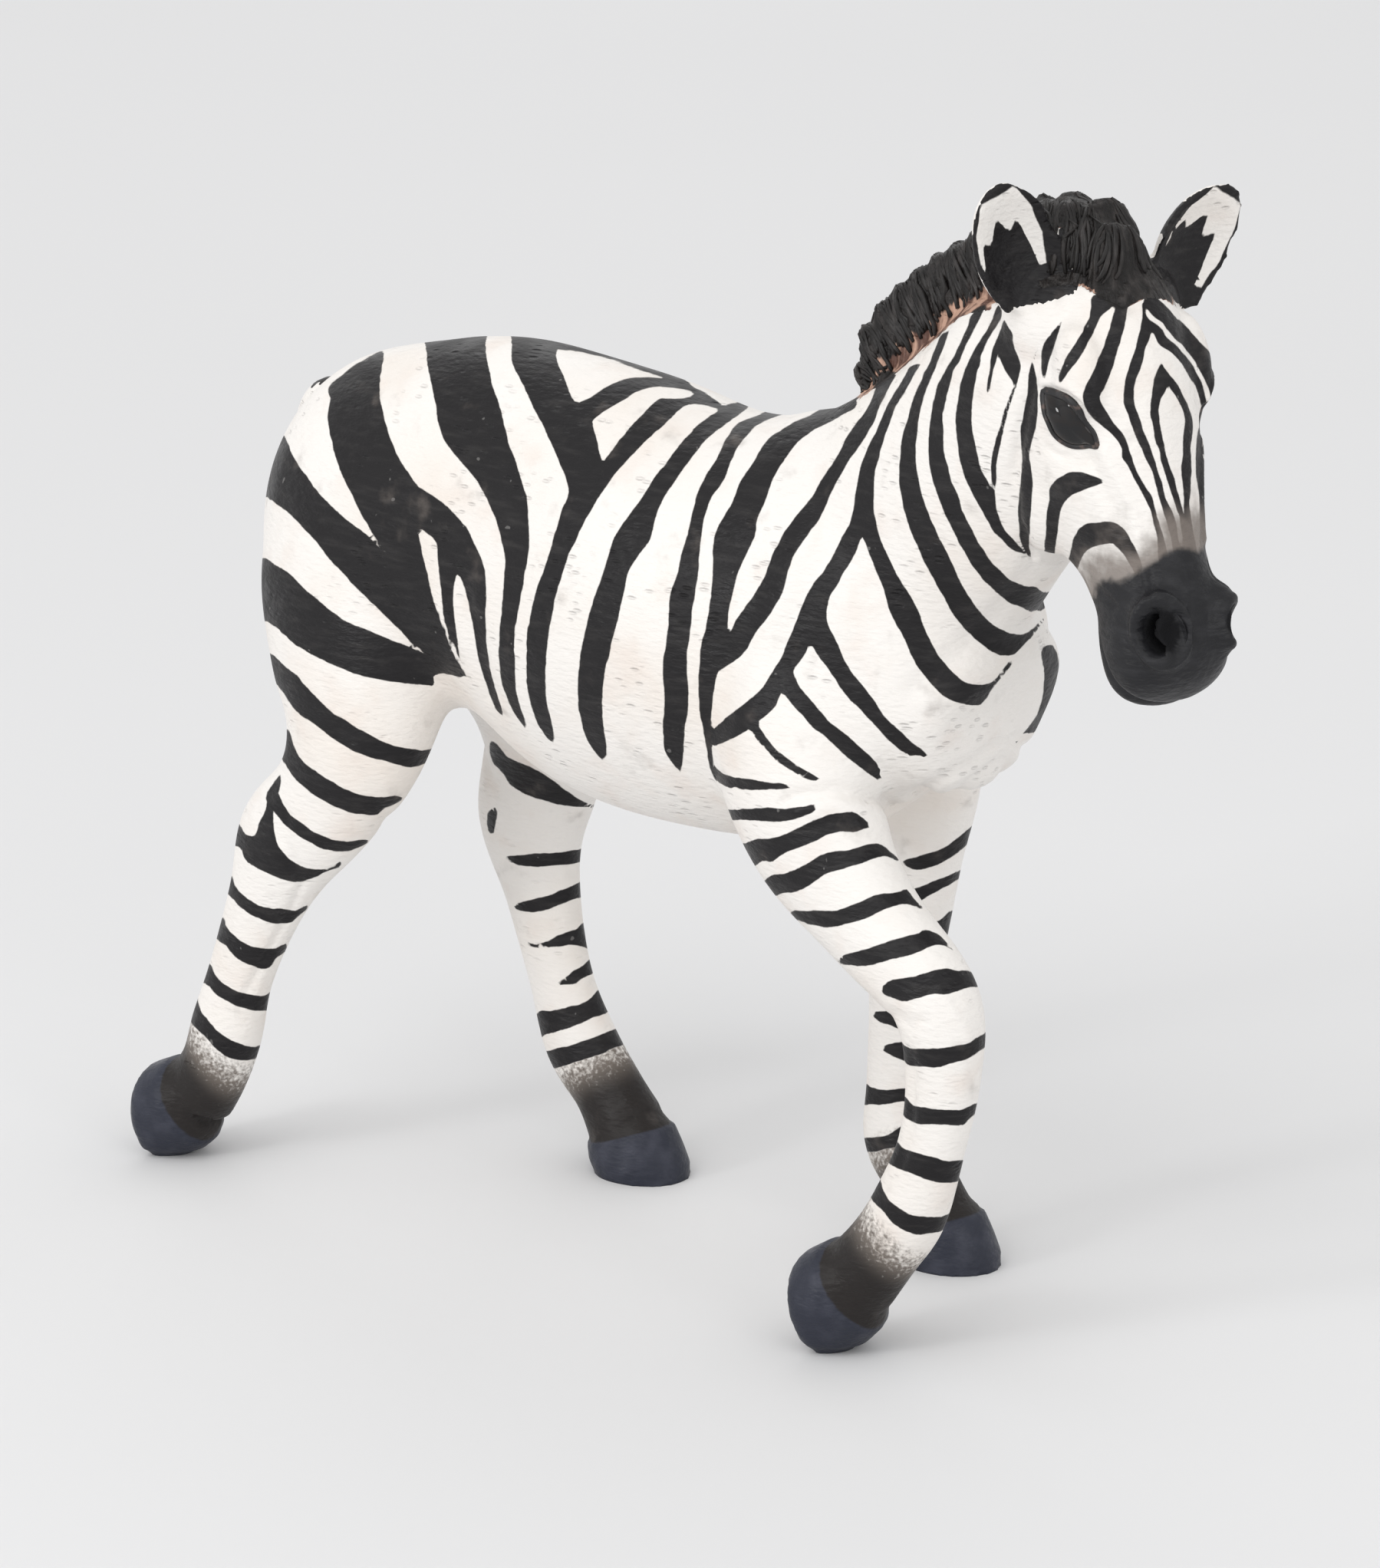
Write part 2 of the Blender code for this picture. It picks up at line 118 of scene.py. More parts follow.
# Tail: the tuft's top, and the spacing, shift and half width of the bands above it
TUFT_TOP = 58.0
TAIL_BAND_SPACING = 5.0
TAIL_BAND_SHIFT = 1.5
TAIL_BAND_HALF = 0.9
# Hooves: the run over which the wall's rim climbs, its drop, the space searched, and the
# pastern's dusting by distance from a middle just above the sole
CORONET_RUN = (-5.0, 5.0)
CORONET_DROP = 0.5
HOOF_ZONE = 15.0
HOOF_ZONE_HALF_WIDTH = 7.0
ANKLE_RISE = 2.0
PASTERN_NEAR = 6.0
PASTERN_FAR = 13.6
# How the small pits show on the trunk and the legs
TRUNK_PITS = 0.6
LEG_PITS = 0.3
PIT_GAP = 1.0
# Mane paint: its root over the crest, how far it is followed, its margins beside and past
# the crest, and how high and how far forward the roots are bare
ROOT_HEIGHT = -0.4
HAIR_REACH = 4.0
CREST_MARGIN = 1.3
CREST_SIDE_LIMIT = 1.25
CREST_END_LIMIT = 2.6
BARE_ROOT_HEIGHT = 2.6
BARE_ROOT_FADE = 0.4
BARE_ROOTS_END = 42.0
# Ear paint: the space round an ear, its black rim and tip, the dark root of the cup, and
# the bar and base of its back; levels are shares of the ear's length
EAR_ZONE_LEVELS = (0.02, 1.15)
EAR_ZONE_HALF_WIDTH = 5.2
EAR_ZONE_DEPTH = (-2.6, 4.6)
EAR_ZONE_REACH = 1.2
EAR_RIM = 1.0
EAR_TIP_LEVEL = 0.86
EAR_TIP_SLOPE = 0.6
EAR_TIP_BACK = 1.0
EAR_PATCH_LEVEL = 0.25
EAR_PATCH_HEIGHT = 4.6
EAR_PATCH_HALF_WIDTH = 2.6
EAR_PATCH_SHIFT = -0.4
EAR_PATCH_EDGE = 2.4
EAR_PATCH_WAVE = 0.36
EAR_PATCH_PACE = 3.1
EAR_CUP_LEVEL = 0.2
EAR_BAR_LEVEL = 0.52
EAR_BAR_HALF = 1.7
EAR_BASE_LEVEL = 0.05
EAR_HAIR_LEVEL = 0.12
EAR_BACK_TURN = 0.05

# Paint colours, linear
WHITE = (0.85, 0.82, 0.785, 1)
CREAM = (0.79, 0.725, 0.66, 1)
BLUSH = (0.72, 0.6, 0.53, 1)
BLACK = (0.0085, 0.0075, 0.0085, 1)
WORN_BLACK = (0.026, 0.024, 0.024, 1)
FLECK = (0.3, 0.29, 0.28, 1)
DUST = (0.17, 0.145, 0.125, 1)
SOOT = (0.017, 0.014, 0.013, 1)
SMUDGE = (0.2, 0.17, 0.15, 1)
CHARCOAL = (0.013, 0.013, 0.015, 1)
GREY = (0.028, 0.028, 0.031, 1)
HAIR = (0.009, 0.0075, 0.007, 1)
WORN_HAIR = (0.045, 0.039, 0.037, 1)
ROOT = (0.56, 0.35, 0.26, 1)
ROOT_DARK = (0.12, 0.06, 0.045, 1)
HOOF = (0.026, 0.029, 0.043, 1)
WORN_HOOF = (0.048, 0.051, 0.07, 1)
EYE_BLACK = (0.006, 0.006, 0.007, 1)
EYE_BROWN = (0.011, 0.008, 0.007, 1)
LID_WORN = (0.09, 0.06, 0.05, 1)
FLOOR_PALE = (0.765, 0.765, 0.77, 1)
FLOOR_DIM = (0.752, 0.752, 0.757, 1)

# Studio lights: place in metres, size in metres, watts
SURROUND = 0.82
LIGHTS = {
    "key": ((0.1, -1.0, 1.2), 0.9, 5.0),
    "front": ((1.2, -0.5, 0.5), 0.8, 2.5),
    "back": ((-0.9, 0.9, 1.0), 0.9, 2.0),
    "spark": ((-0.2, -0.64, 0.25), 0.13, 0.8),
}

# Nostril in the photograph: middle, half width, half height, tilt in degrees
NOSTRIL_MIDDLE = (1515, 823)
NOSTRIL_WIDTH = 25.0
NOSTRIL_HEIGHT = 31.0
NOSTRIL_TILT = 12.0
# Its carving, near then far: depth, rim height and size; then the hole's and the
# rim's place and width, and the edge of the painted shade in the hole, all as shares of its size
NOSTRIL_DEPTHS = (2.3, 0.5)
NOSTRIL_RIM_HEIGHT = 0.7
NOSTRIL_RIM_SHARES = (1.0, 0.3)
NOSTRIL_SIZES = (1.0, 1.35)
NOSTRIL_HOLE = 0.95
NOSTRIL_RIM = 1.38
NOSTRIL_RIM_WIDTH = 0.25
NOSTRIL_SHADE = (0.82, 1.12)
# Where nostrils may lie: down the nose, out of the face, and clear of the middle
NOSTRIL_START = 25.0
NOSTRIL_LOW = -9.0
NOSTRIL_CLEAR = 0.8
OFF_NOSTRIL = 9.0
# Mouth: distance down the nose, distance out of the face; then its depth and half width,
# the lip's rise, drop and half width, and where the lips begin and end
MOUTH_LINE = [
    (25.0, -12.2),
    (28.0, -11.0),
    (31.0, -9.9),
    (34.0, -8.8),
    (36.5, -7.8),
    (38.6, -7.2),
]
MOUTH_DEPTH = 0.55
MOUTH_WIDTH = 0.5
LIP_RISE = 0.2
LIP_DROP = 1.3
LIP_WIDTH = 0.7
LIPS_START = (25.5, 28.0)
LIPS_END = (7.0, 8.0)
# How far round the head its skin is refined and carved, and where the carving starts
REFINE_REACH = 1.45
REFINE_ROUNDING = 0.6
CARVE_REACH = 1.4
CARVE_START = 4.0

# Creases and ridges of the near face: photograph pixels, half width, height in millimetres
FACE_CREASES = {
    "upper_lid_fold": ([(1356, 500), (1374, 499), (1394, 506), (1412, 520), (1426, 540)], 5.0, 0.3),
    "lid_groove": ([(1352, 505), (1372, 505), (1392, 512), (1408, 526), (1422, 546)], 4.0, -0.25),
    "under_eye": ([(1366, 584), (1384, 596), (1404, 600), (1426, 598)], 5.0, -0.25),
    "cheek_bone": ([(1440, 592), (1462, 630), (1480, 672), (1490, 712)], 9.0, 0.3),
    "cheek_hollow": ([(1420, 602), (1442, 650), (1456, 676)], 9.0, -0.3),
    "jaw_edge": ([(1352, 470), (1334, 540), (1322, 620), (1326, 680), (1344, 728)], 7.0, -0.35),
    "nose_fold_1": ([(1497, 742), (1502, 762), (1500, 782)], 3.5, -0.2),
    "nose_fold_2": ([(1484, 748), (1488, 768), (1486, 786)], 3.5, -0.2),
    "mouth_corner": ([(1428, 764), (1438, 776), (1452, 790)], 4.0, -0.3),
}
# Eyes: rings from the rim inwards, the dome's bulge, how deep its rim sits, how much of the
# skin's bow it gives up, and its summit; then the lids' thickness, sides, width and how
# much thicker they grow over the eye
EYE_RINGS = (1.0, 0.86, 0.68, 0.46, 0.22)
EYE_BULGE = 0.75
EYE_SINK = 0.12
EYE_FLATTENING = 0.25
EYE_SUMMIT = 0.02
LID_THICKNESS = 0.2
LID_SIDES = 10
LID_WIDTH = 1.3
UPPER_LID_EXTRA = 0.5
UPPER_LID_RUN = (0.0, 1.5)

# How far the hoof walls stand out, and where that fades at the rim and over the ground
HOOF_LEDGE = 0.3
LEDGE_RIM = (0.0, 0.4)
LEDGE_GROUND = (0.4, 1.2)

# Strands: how many, their points, sides, thickness and waviness
STRANDS = 460
STRAND_POINTS = 8
STRAND_SIDES = 5
STRAND_RADIUS = 0.3
STRAND_WAVE = 0.35
STRAND_PACE = 5.0
# A strand's taper: least thickness, and the part of a half wave that its length spans
STRAND_LEAST = 0.35
STRAND_SPAN = (0.15, 0.97)
# Chance: how far from the mane's middle, how far back, where the strands start over bare
# and covered roots and end, as shares of the mane's width and height, and their thickness
STRAND_SPREAD = (0.25, 1.3)
STRAND_SWEEP = (-0.3, 0.8)
BARE_START = (0.1, 0.6)
COVERED_START = (0.05, 0.3)
STRAND_END = (0.82, 1.02)
STRAND_SIZES = (0.65, 1.25)
# The tail tuft's strands: how many, how far they stand off, and their chances
TUFT_STRANDS = 110
TUFT_STANDOFF = 0.6
TUFT_LEAD = 1.5
TUFT_SCATTER = (-0.1, 0.1)
TUFT_TURN = (-0.5, 0.5)
TUFT_START = (0.0, 0.35)
TUFT_LENGTH = (0.55, 0.9)
TUFT_SIZES = (0.65, 1.2)

# Noise in the coats: grains per metre, detail, and stretch along the axes
EVEN = (1, 1, 1)
GRAINS = {
    "wobble": (700.0, 4.0, EVEN),
    "blotch": (55.0, 3.0, EVEN),
    "cloud": (220.0, 4.0, EVEN),
    "brush": (500.0, 4.0, (0.5, 1.0, 3.0)),
    "fleck": (900.0, 1.0, EVEN),
    "grit": (2600.0, 2.0, EVEN),
    "smear": (260.0, 4.0, EVEN),
    "tress": (900.0, 3.0, (1.0, 1.0, 0.16)),
    "horn": (400.0, 4.0, EVEN),
    "gloss": (300.0, 3.0, EVEN),
    "pit_patch": (160.0, 2.0, EVEN),
    "relief": (1500.0, 3.0, (0.5, 0.8, 1.5)),
    "eye_tint": (800.0, 2.0, EVEN),
    "eye_gloss": (2000.0, 2.0, EVEN),
    "strand_wear": (900.0, 4.0, (1.0, 1.0, 0.3)),
    "strand_gloss": (600.0, 2.0, EVEN),
    "strand_relief": (2500.0, 3.0, EVEN),
    "lid_wear": (1200.0, 3.0, EVEN),
    "lid_gloss": (1500.0, 2.0, EVEN),
    "floor": (3.0, 2.0, EVEN),
}
# How much light each surface throws back straight, and how far the paint's bumps stand
PAINT_SPECULAR = 0.26
EYE_SPECULAR = 0.4
STRAND_SPECULAR = 0.35
FLOOR_SPECULAR = 0.1
FLOOR_ROUGHNESS = 0.9
PAINT_BUMP = {"Strength": 0.8, "Distance": 0.0004}
STRAND_BUMP = {"Strength": 0.4, "Distance": 0.0001}
# Pits in the paint: cells per metre, and their turn and stretch along the coat
PIT_SCALE = 950.0
PIT_TURN = (0.0, 0.2, 0.0)
PIT_STRETCH = (0.5, 0.7, 1.6)
# Half the size of the floor in metres
FLOOR_REACH = 3

# Folds of the body: photograph pixels, half width, height in millimetres
BODY_FOLDS = {
    "elbow_fold": ([(1030, 1040), (1090, 1030), (1150, 1040), (1190, 1080), (1205, 1120)], 9.0, -0.5),
    "arm_edge": ([(1040, 1058), (1090, 1048), (1140, 1058), (1176, 1096)], 12.0, 0.35),
    "stifle_fold": ([(640, 905), (628, 870), (615, 820), (600, 760)], 12.0, -0.35),
    "chest_line_1": ([(1210, 1060), (1250, 1035), (1290, 1005), (1320, 985)], 8.0, -0.6),
    "chest_line_2": ([(1195, 1035), (1230, 1015), (1270, 995), (1300, 970)], 8.0, -0.5),
    "chest_line_3": ([(1230, 1078), (1262, 1052), (1290, 1025)], 6.0, -0.5),
    "neck_groove": ([(1345, 745), (1300, 800), (1250, 850), (1190, 900)], 16.0, -0.35),
    "shoulder_edge": ([(1050, 700), (1010, 800), (985, 880), (965, 960)], 20.0, 0.35),
    "knee_front": ([(1225, 1300), (1250, 1330), (1262, 1352)], 10.0, 0.3),
    "knee_back": ([(1165, 1322), (1186, 1336), (1204, 1330)], 7.0, -0.3),
    "tendon_fore": ([(1190, 1385), (1188, 1430), (1186, 1480), (1172, 1520)], 5.0, -0.35),
    "tendon_hind": ([(395, 1150), (372, 1200), (345, 1250), (318, 1300)], 5.0, -0.35),
    "hock_hollow": ([(372, 1062), (368, 1098), (382, 1128)], 8.0, -0.35),
    "thigh_line": ([(505, 1070), (470, 1020), (440, 960)], 14.0, -0.3),
}

# Body sections: x, y, z, half width, reach up, reach down
TORSO = [
    (-58.0, 0, 67.0, 2.0, 3.0, 4.0),
    (-56.8, 0, 67.0, 6.0, 8.4, 9.0),
    (-54.0, 0, 67.0, 9.8, 13.0, 13.4),
    (-49.5, 0, 67.0, 12.8, 16.8, 16.4),
    (-43.0, 0, 67.0, 14.3, 19.4, 17.4),
    (-36.0, 0, 66.5, 14.8, 21.6, 15.6),
    (-28.0, 0, 66.0, 14.6, 22.8, 15.4),
    (-20.0, 0, 65.5, 15.2, 22.6, 19.2),
    (-11.0, 0, 64.5, 16.2, 22.4, 20.4),
    (-2.0, 0, 64.0, 16.2, 21.2, 20.2),
    (6.0, 0, 64.0, 15.2, 21.4, 19.6),
    (14.0, 0, 64.5, 13.6, 22.6, 18.5),
    (21.0, 0, 64.0, 12.6, 20.0, 16.0),
    (27.3, 0, 61.6, 11.2, 10.8, 12.4),
    (30.3, 0, 59.4, 8.8, 6.4, 8.4),
    (32.2, 0, 58.8, 2.8, 2.6, 3.2),
]

NECK = [
    (10.0, 0.0, 68.0, 8.5, 17.0, 13.0),
    (17.0, -0.5, 71.5, 9.6, 16.8, 13.6),
    (23.5, -1.2, 76.0, 9.2, 15.4, 12.6),
    (30.0, -2.6, 81.6, 8.0, 14.0, 11.2),
    (36.0, -4.4, 87.4, 6.9, 12.8, 10.2),
    (41.0, -5.8, 92.6, 6.4, 11.6, 9.2),
    (45.0, -6.6, 97.0, 5.6, 8.0, 8.0),
]

# Head: the poll's place, its turn to the right and its nose-down pitch in degrees
POLL = (50.6, -6.8, 106.4)
HEAD_TURN = 19.0
HEAD_PITCH = 70.0

# Head sections: distance down from the poll, face line, jaw line, half width
HEAD = [
    (-3.0, -4.0, -12.5, 3.2),
    (0.0, -1.2, -16.5, 5.4),
    (4.0, 0.2, -19.6, 7.0),
    (8.5, 0.8, -21.4, 7.7),
    (12.4, 0.6, -22.4, 7.8),
    (16.8, 0.1, -22.0, 7.2),
    (21.2, -0.4, -18.8, 6.0),
    (25.2, -0.7, -15.0, 4.9),
    (28.8, -0.7, -12.8, 5.1),
    (32.4, -0.9, -12.2, 5.7),
    (35.6, -1.9, -11.6, 5.4),
    (37.4, -3.8, -10.4, 4.0),
    (38.4, -6.2, -8.2, 1.7),
]
WIDEST_SHARE = 0.45

# Soft forms laid on each side of the head: down, out, sideways, then their three radii
HEAD_FORMS = {
    "brow": (8.8, -3.6, 5.6, 4.8, 2.8, 2.1),
    "eyeball": (11.9, -6.5, 6.1, 2.3, 1.8, 1.9),
    "cheek": (15.5, -14.0, 3.8, 8.0, 8.0, 3.6),
    "nostril_wing": (31.8, -2.8, 3.5, 3.6, 2.8, 1.9),
    "ear_root": (3.2, -8.6, 5.0, 4.8, 4.8, 3.4),
}

# Hollows pressed into each side: down, out, sideways, radius, depth
HEAD_HOLLOWS = {
    "nostril": (32.8, -1.8, 5.0, 1.5, 1.5),
    "inner_eye": (15.0, -4.8, 6.4, 1.8, 0.7),
}

# Leg sections: x, y, z, half width, reach forward, reach back
RIGHT_HIND = [
    (-42.0, -5.0, 74.0, 8.0, 11.0, 11.0),
    (-41.2, -7.4, 64.0, 8.0, 12.6, 13.6),
    (-40.4, -9.8, 54.5, 6.8, 10.8, 11.2),
    (-40.6, -11.3, 48.0, 5.3, 8.6, 8.2),
    (-43.5, -12.0, 42.0, 4.2, 6.6, 6.4),
    (-48.3, -12.4, 36.0, 3.8, 5.6, 6.8),
    (-51.8, -12.6, 29.5, 3.1, 4.3, 4.6),
    (-55.2, -12.8, 21.5, 2.7, 3.6, 3.9),
    (-57.3, -13.0, 15.0, 3.1, 4.0, 4.3),
    (-59.4, -13.0, 10.5, 3.1, 4.1, 3.8),
    (-61.8, -13.0, 7.0, 3.4, 4.2, 4.0),
]

LEFT_HIND = [
    (-42.0, 5.0, 74.0, 8.0, 11.0, 11.0),
    (-38.0, 7.6, 63.0, 8.2, 14.0, 13.5),
    (-34.8, 10.0, 51.5, 6.6, 11.0, 10.8),
    (-35.0, 11.4, 43.5, 4.8, 7.4, 8.0),
    (-37.2, 12.2, 35.0, 3.8, 5.8, 7.3),
    (-36.6, 12.6, 27.5, 3.1, 4.4, 4.6),
    (-34.4, 12.8, 19.0, 2.7, 3.7, 3.9),
    (-31.8, 13.0, 12.4, 3.2, 4.2, 4.4),
    (-28.2, 13.0, 8.0, 3.2, 4.0, 4.0),
    (-25.8, 13.0, 4.6, 3.8, 4.4, 4.2),
]

RIGHT_FORE = [
    (12.5, -7.0, 68.0, 6.0, 9.0, 9.0),
    (14.5, -9.6, 58.0, 6.2, 9.6, 9.2),
    (18.6, -11.4, 49.6, 5.2, 7.6, 7.8),
    (26.0, -12.3, 42.6, 4.2, 5.6, 5.6),
    (33.6, -12.8, 36.6, 3.8, 4.8, 4.4),
    (35.0, -12.9, 30.0, 3.1, 3.8, 3.9),
    (33.9, -13.0, 22.5, 2.6, 3.3, 3.5),
    (31.4, -13.0, 15.8, 3.0, 3.8, 3.9),
    (28.4, -13.0, 11.4, 3.1, 3.8, 3.7),
    (25.4, -13.0, 7.6, 3.4, 4.1, 4.0),
]

LEFT_FORE = [
    (11.0, 7.0, 68.0, 6.0, 9.0, 9.0),
    (11.4, 9.8, 57.5, 6.0, 10.0, 8.8),
    (11.4, 11.4, 48.0, 4.8, 8.6, 6.8),
    (11.3, 12.2, 40.0, 3.9, 5.8, 5.1),
    (10.8, 12.4, 32.5, 3.5, 4.4, 4.2),
    (10.3, 12.5, 25.0, 2.7, 3.5, 3.5),
    (10.0, 12.5, 17.0, 2.6, 3.2, 3.4),
    (10.4, 12.5, 11.5, 3.1, 3.8, 4.0),
    (12.8, 12.5, 7.7, 3.1, 3.9, 3.8),
    (14.6, 12.5, 4.4, 3.6, 4.2, 4.0),
]

# Hooves: x, y, z of the sole's middle, and how far the sole is tipped back
HOOVES = {
    "right_hind": (-66.4, -13.0, 4.4, 80.0),
    "left_hind": (-24.0, 13.0, 0.0, 0.0),
    "right_fore": (21.4, -13.0, 4.4, 72.0),
    "left_fore": (16.4, 12.5, 0.0, 0.0),
}
SOLE_HALF_WIDTH = 4.7
SOLE_FRONT = 5.8
SOLE_BACK = 4.8
HOOF_HEIGHT_FRONT = 6.2
HOOF_HEIGHT_BACK = 3.6
HOOF_SLOPE = 1.9
# Hoof sections: millimetres under the sole or share of the wall, size, share of the slope
HOOF_LEVELS = [
    (-0.9, 0.9, 0.0),
    (-0.35, 0.99, 0.0),
    (0.0, 1.0, 0.0),
    (0.5, 0.92, 0.45),
    (0.94, 0.82, 0.9),
    (1.0, 0.7, 1.0),
]

# Mane: the crest it stands on, from the withers to the forelock's end, its height,
# its half width and how far the locks lean back
MANE = [
    (18.2, -0.5, 88.6, 4.4, 1.6, 0.2),
    (20.6, -0.8, 91.4, 7.0, 2.0, 0.6),
    (25.0, -1.6, 94.8, 7.6, 2.2, 0.9),
    (30.0, -2.7, 97.8, 7.8, 2.3, 0.9),
    (35.5, -3.9, 100.8, 7.8, 2.5, 0.9),
    (40.6, -5.0, 103.2, 8.0, 2.8, 1.0),
    (44.4, -5.8, 104.4, 7.6, 3.3, 1.6),
    (47.4, -6.6, 104.6, 6.6, 3.7, 2.4),
    (49.2, -7.0, 103.9, 4.4, 3.2, 2.6),
]
CREST_STEP = 0.5
MANE_LOCKS = 25
LOCK_STAGGER = 0.7
LOCK_POINTS = 12
SHORT_LOCK = 0.93
LOCK_FULLNESS = 0.72
# Lock sections: share of its height, share of its thickness
LOCK_LEVELS = [(-0.25, 0.8), (0.0, 1.0), (0.35, 1.0), (0.7, 0.86), (0.9, 0.6), (1.0, 0.25)]

# Ears: side, base in the head's frame (down, out, sideways), lean forward and outward
EARS = {
    "right_ear": (-1.0, 1.8, -6.4, 7.3, 0.1, 0.43),
    "left_ear": (1.0, 3.2, -6.2, 7.0, 0.14, 0.6),
}
EAR_LENGTH = 12.6
EAR_HALF_WIDTH = 4.3
EAR_DEPTH = 3.4
EAR_WALL = 1.5
EAR_WIDTHS = [(0.0, 0.62), (0.2, 0.86), (0.42, 1.0), (0.65, 0.92), (0.86, 0.66), (1.0, 0.22)]

# Tail: dock and tuft, hanging close behind the hindquarters
TAIL = [
    (-49.0, 0.0, 77.0, 2.4, 2.4, 2.4),
    (-53.6, 0.6, 79.2, 2.3, 2.3, 2.3),
    (-57.4, 1.8, 76.4, 2.1, 2.1, 2.1),
    (-59.6, 3.2, 69.0, 1.9, 1.9, 1.9),
    (-59.8, 4.0, 61.5, 2.0, 2.0, 2.0),
    (-59.2, 4.2, 54.0, 2.8, 2.6, 2.6),
    (-58.8, 4.2, 46.0, 3.2, 3.0, 3.0),
    (-58.8, 4.2, 39.0, 2.7, 2.6, 2.6),
    (-59.2, 4.2, 33.5, 0.9, 0.9, 0.9),
]

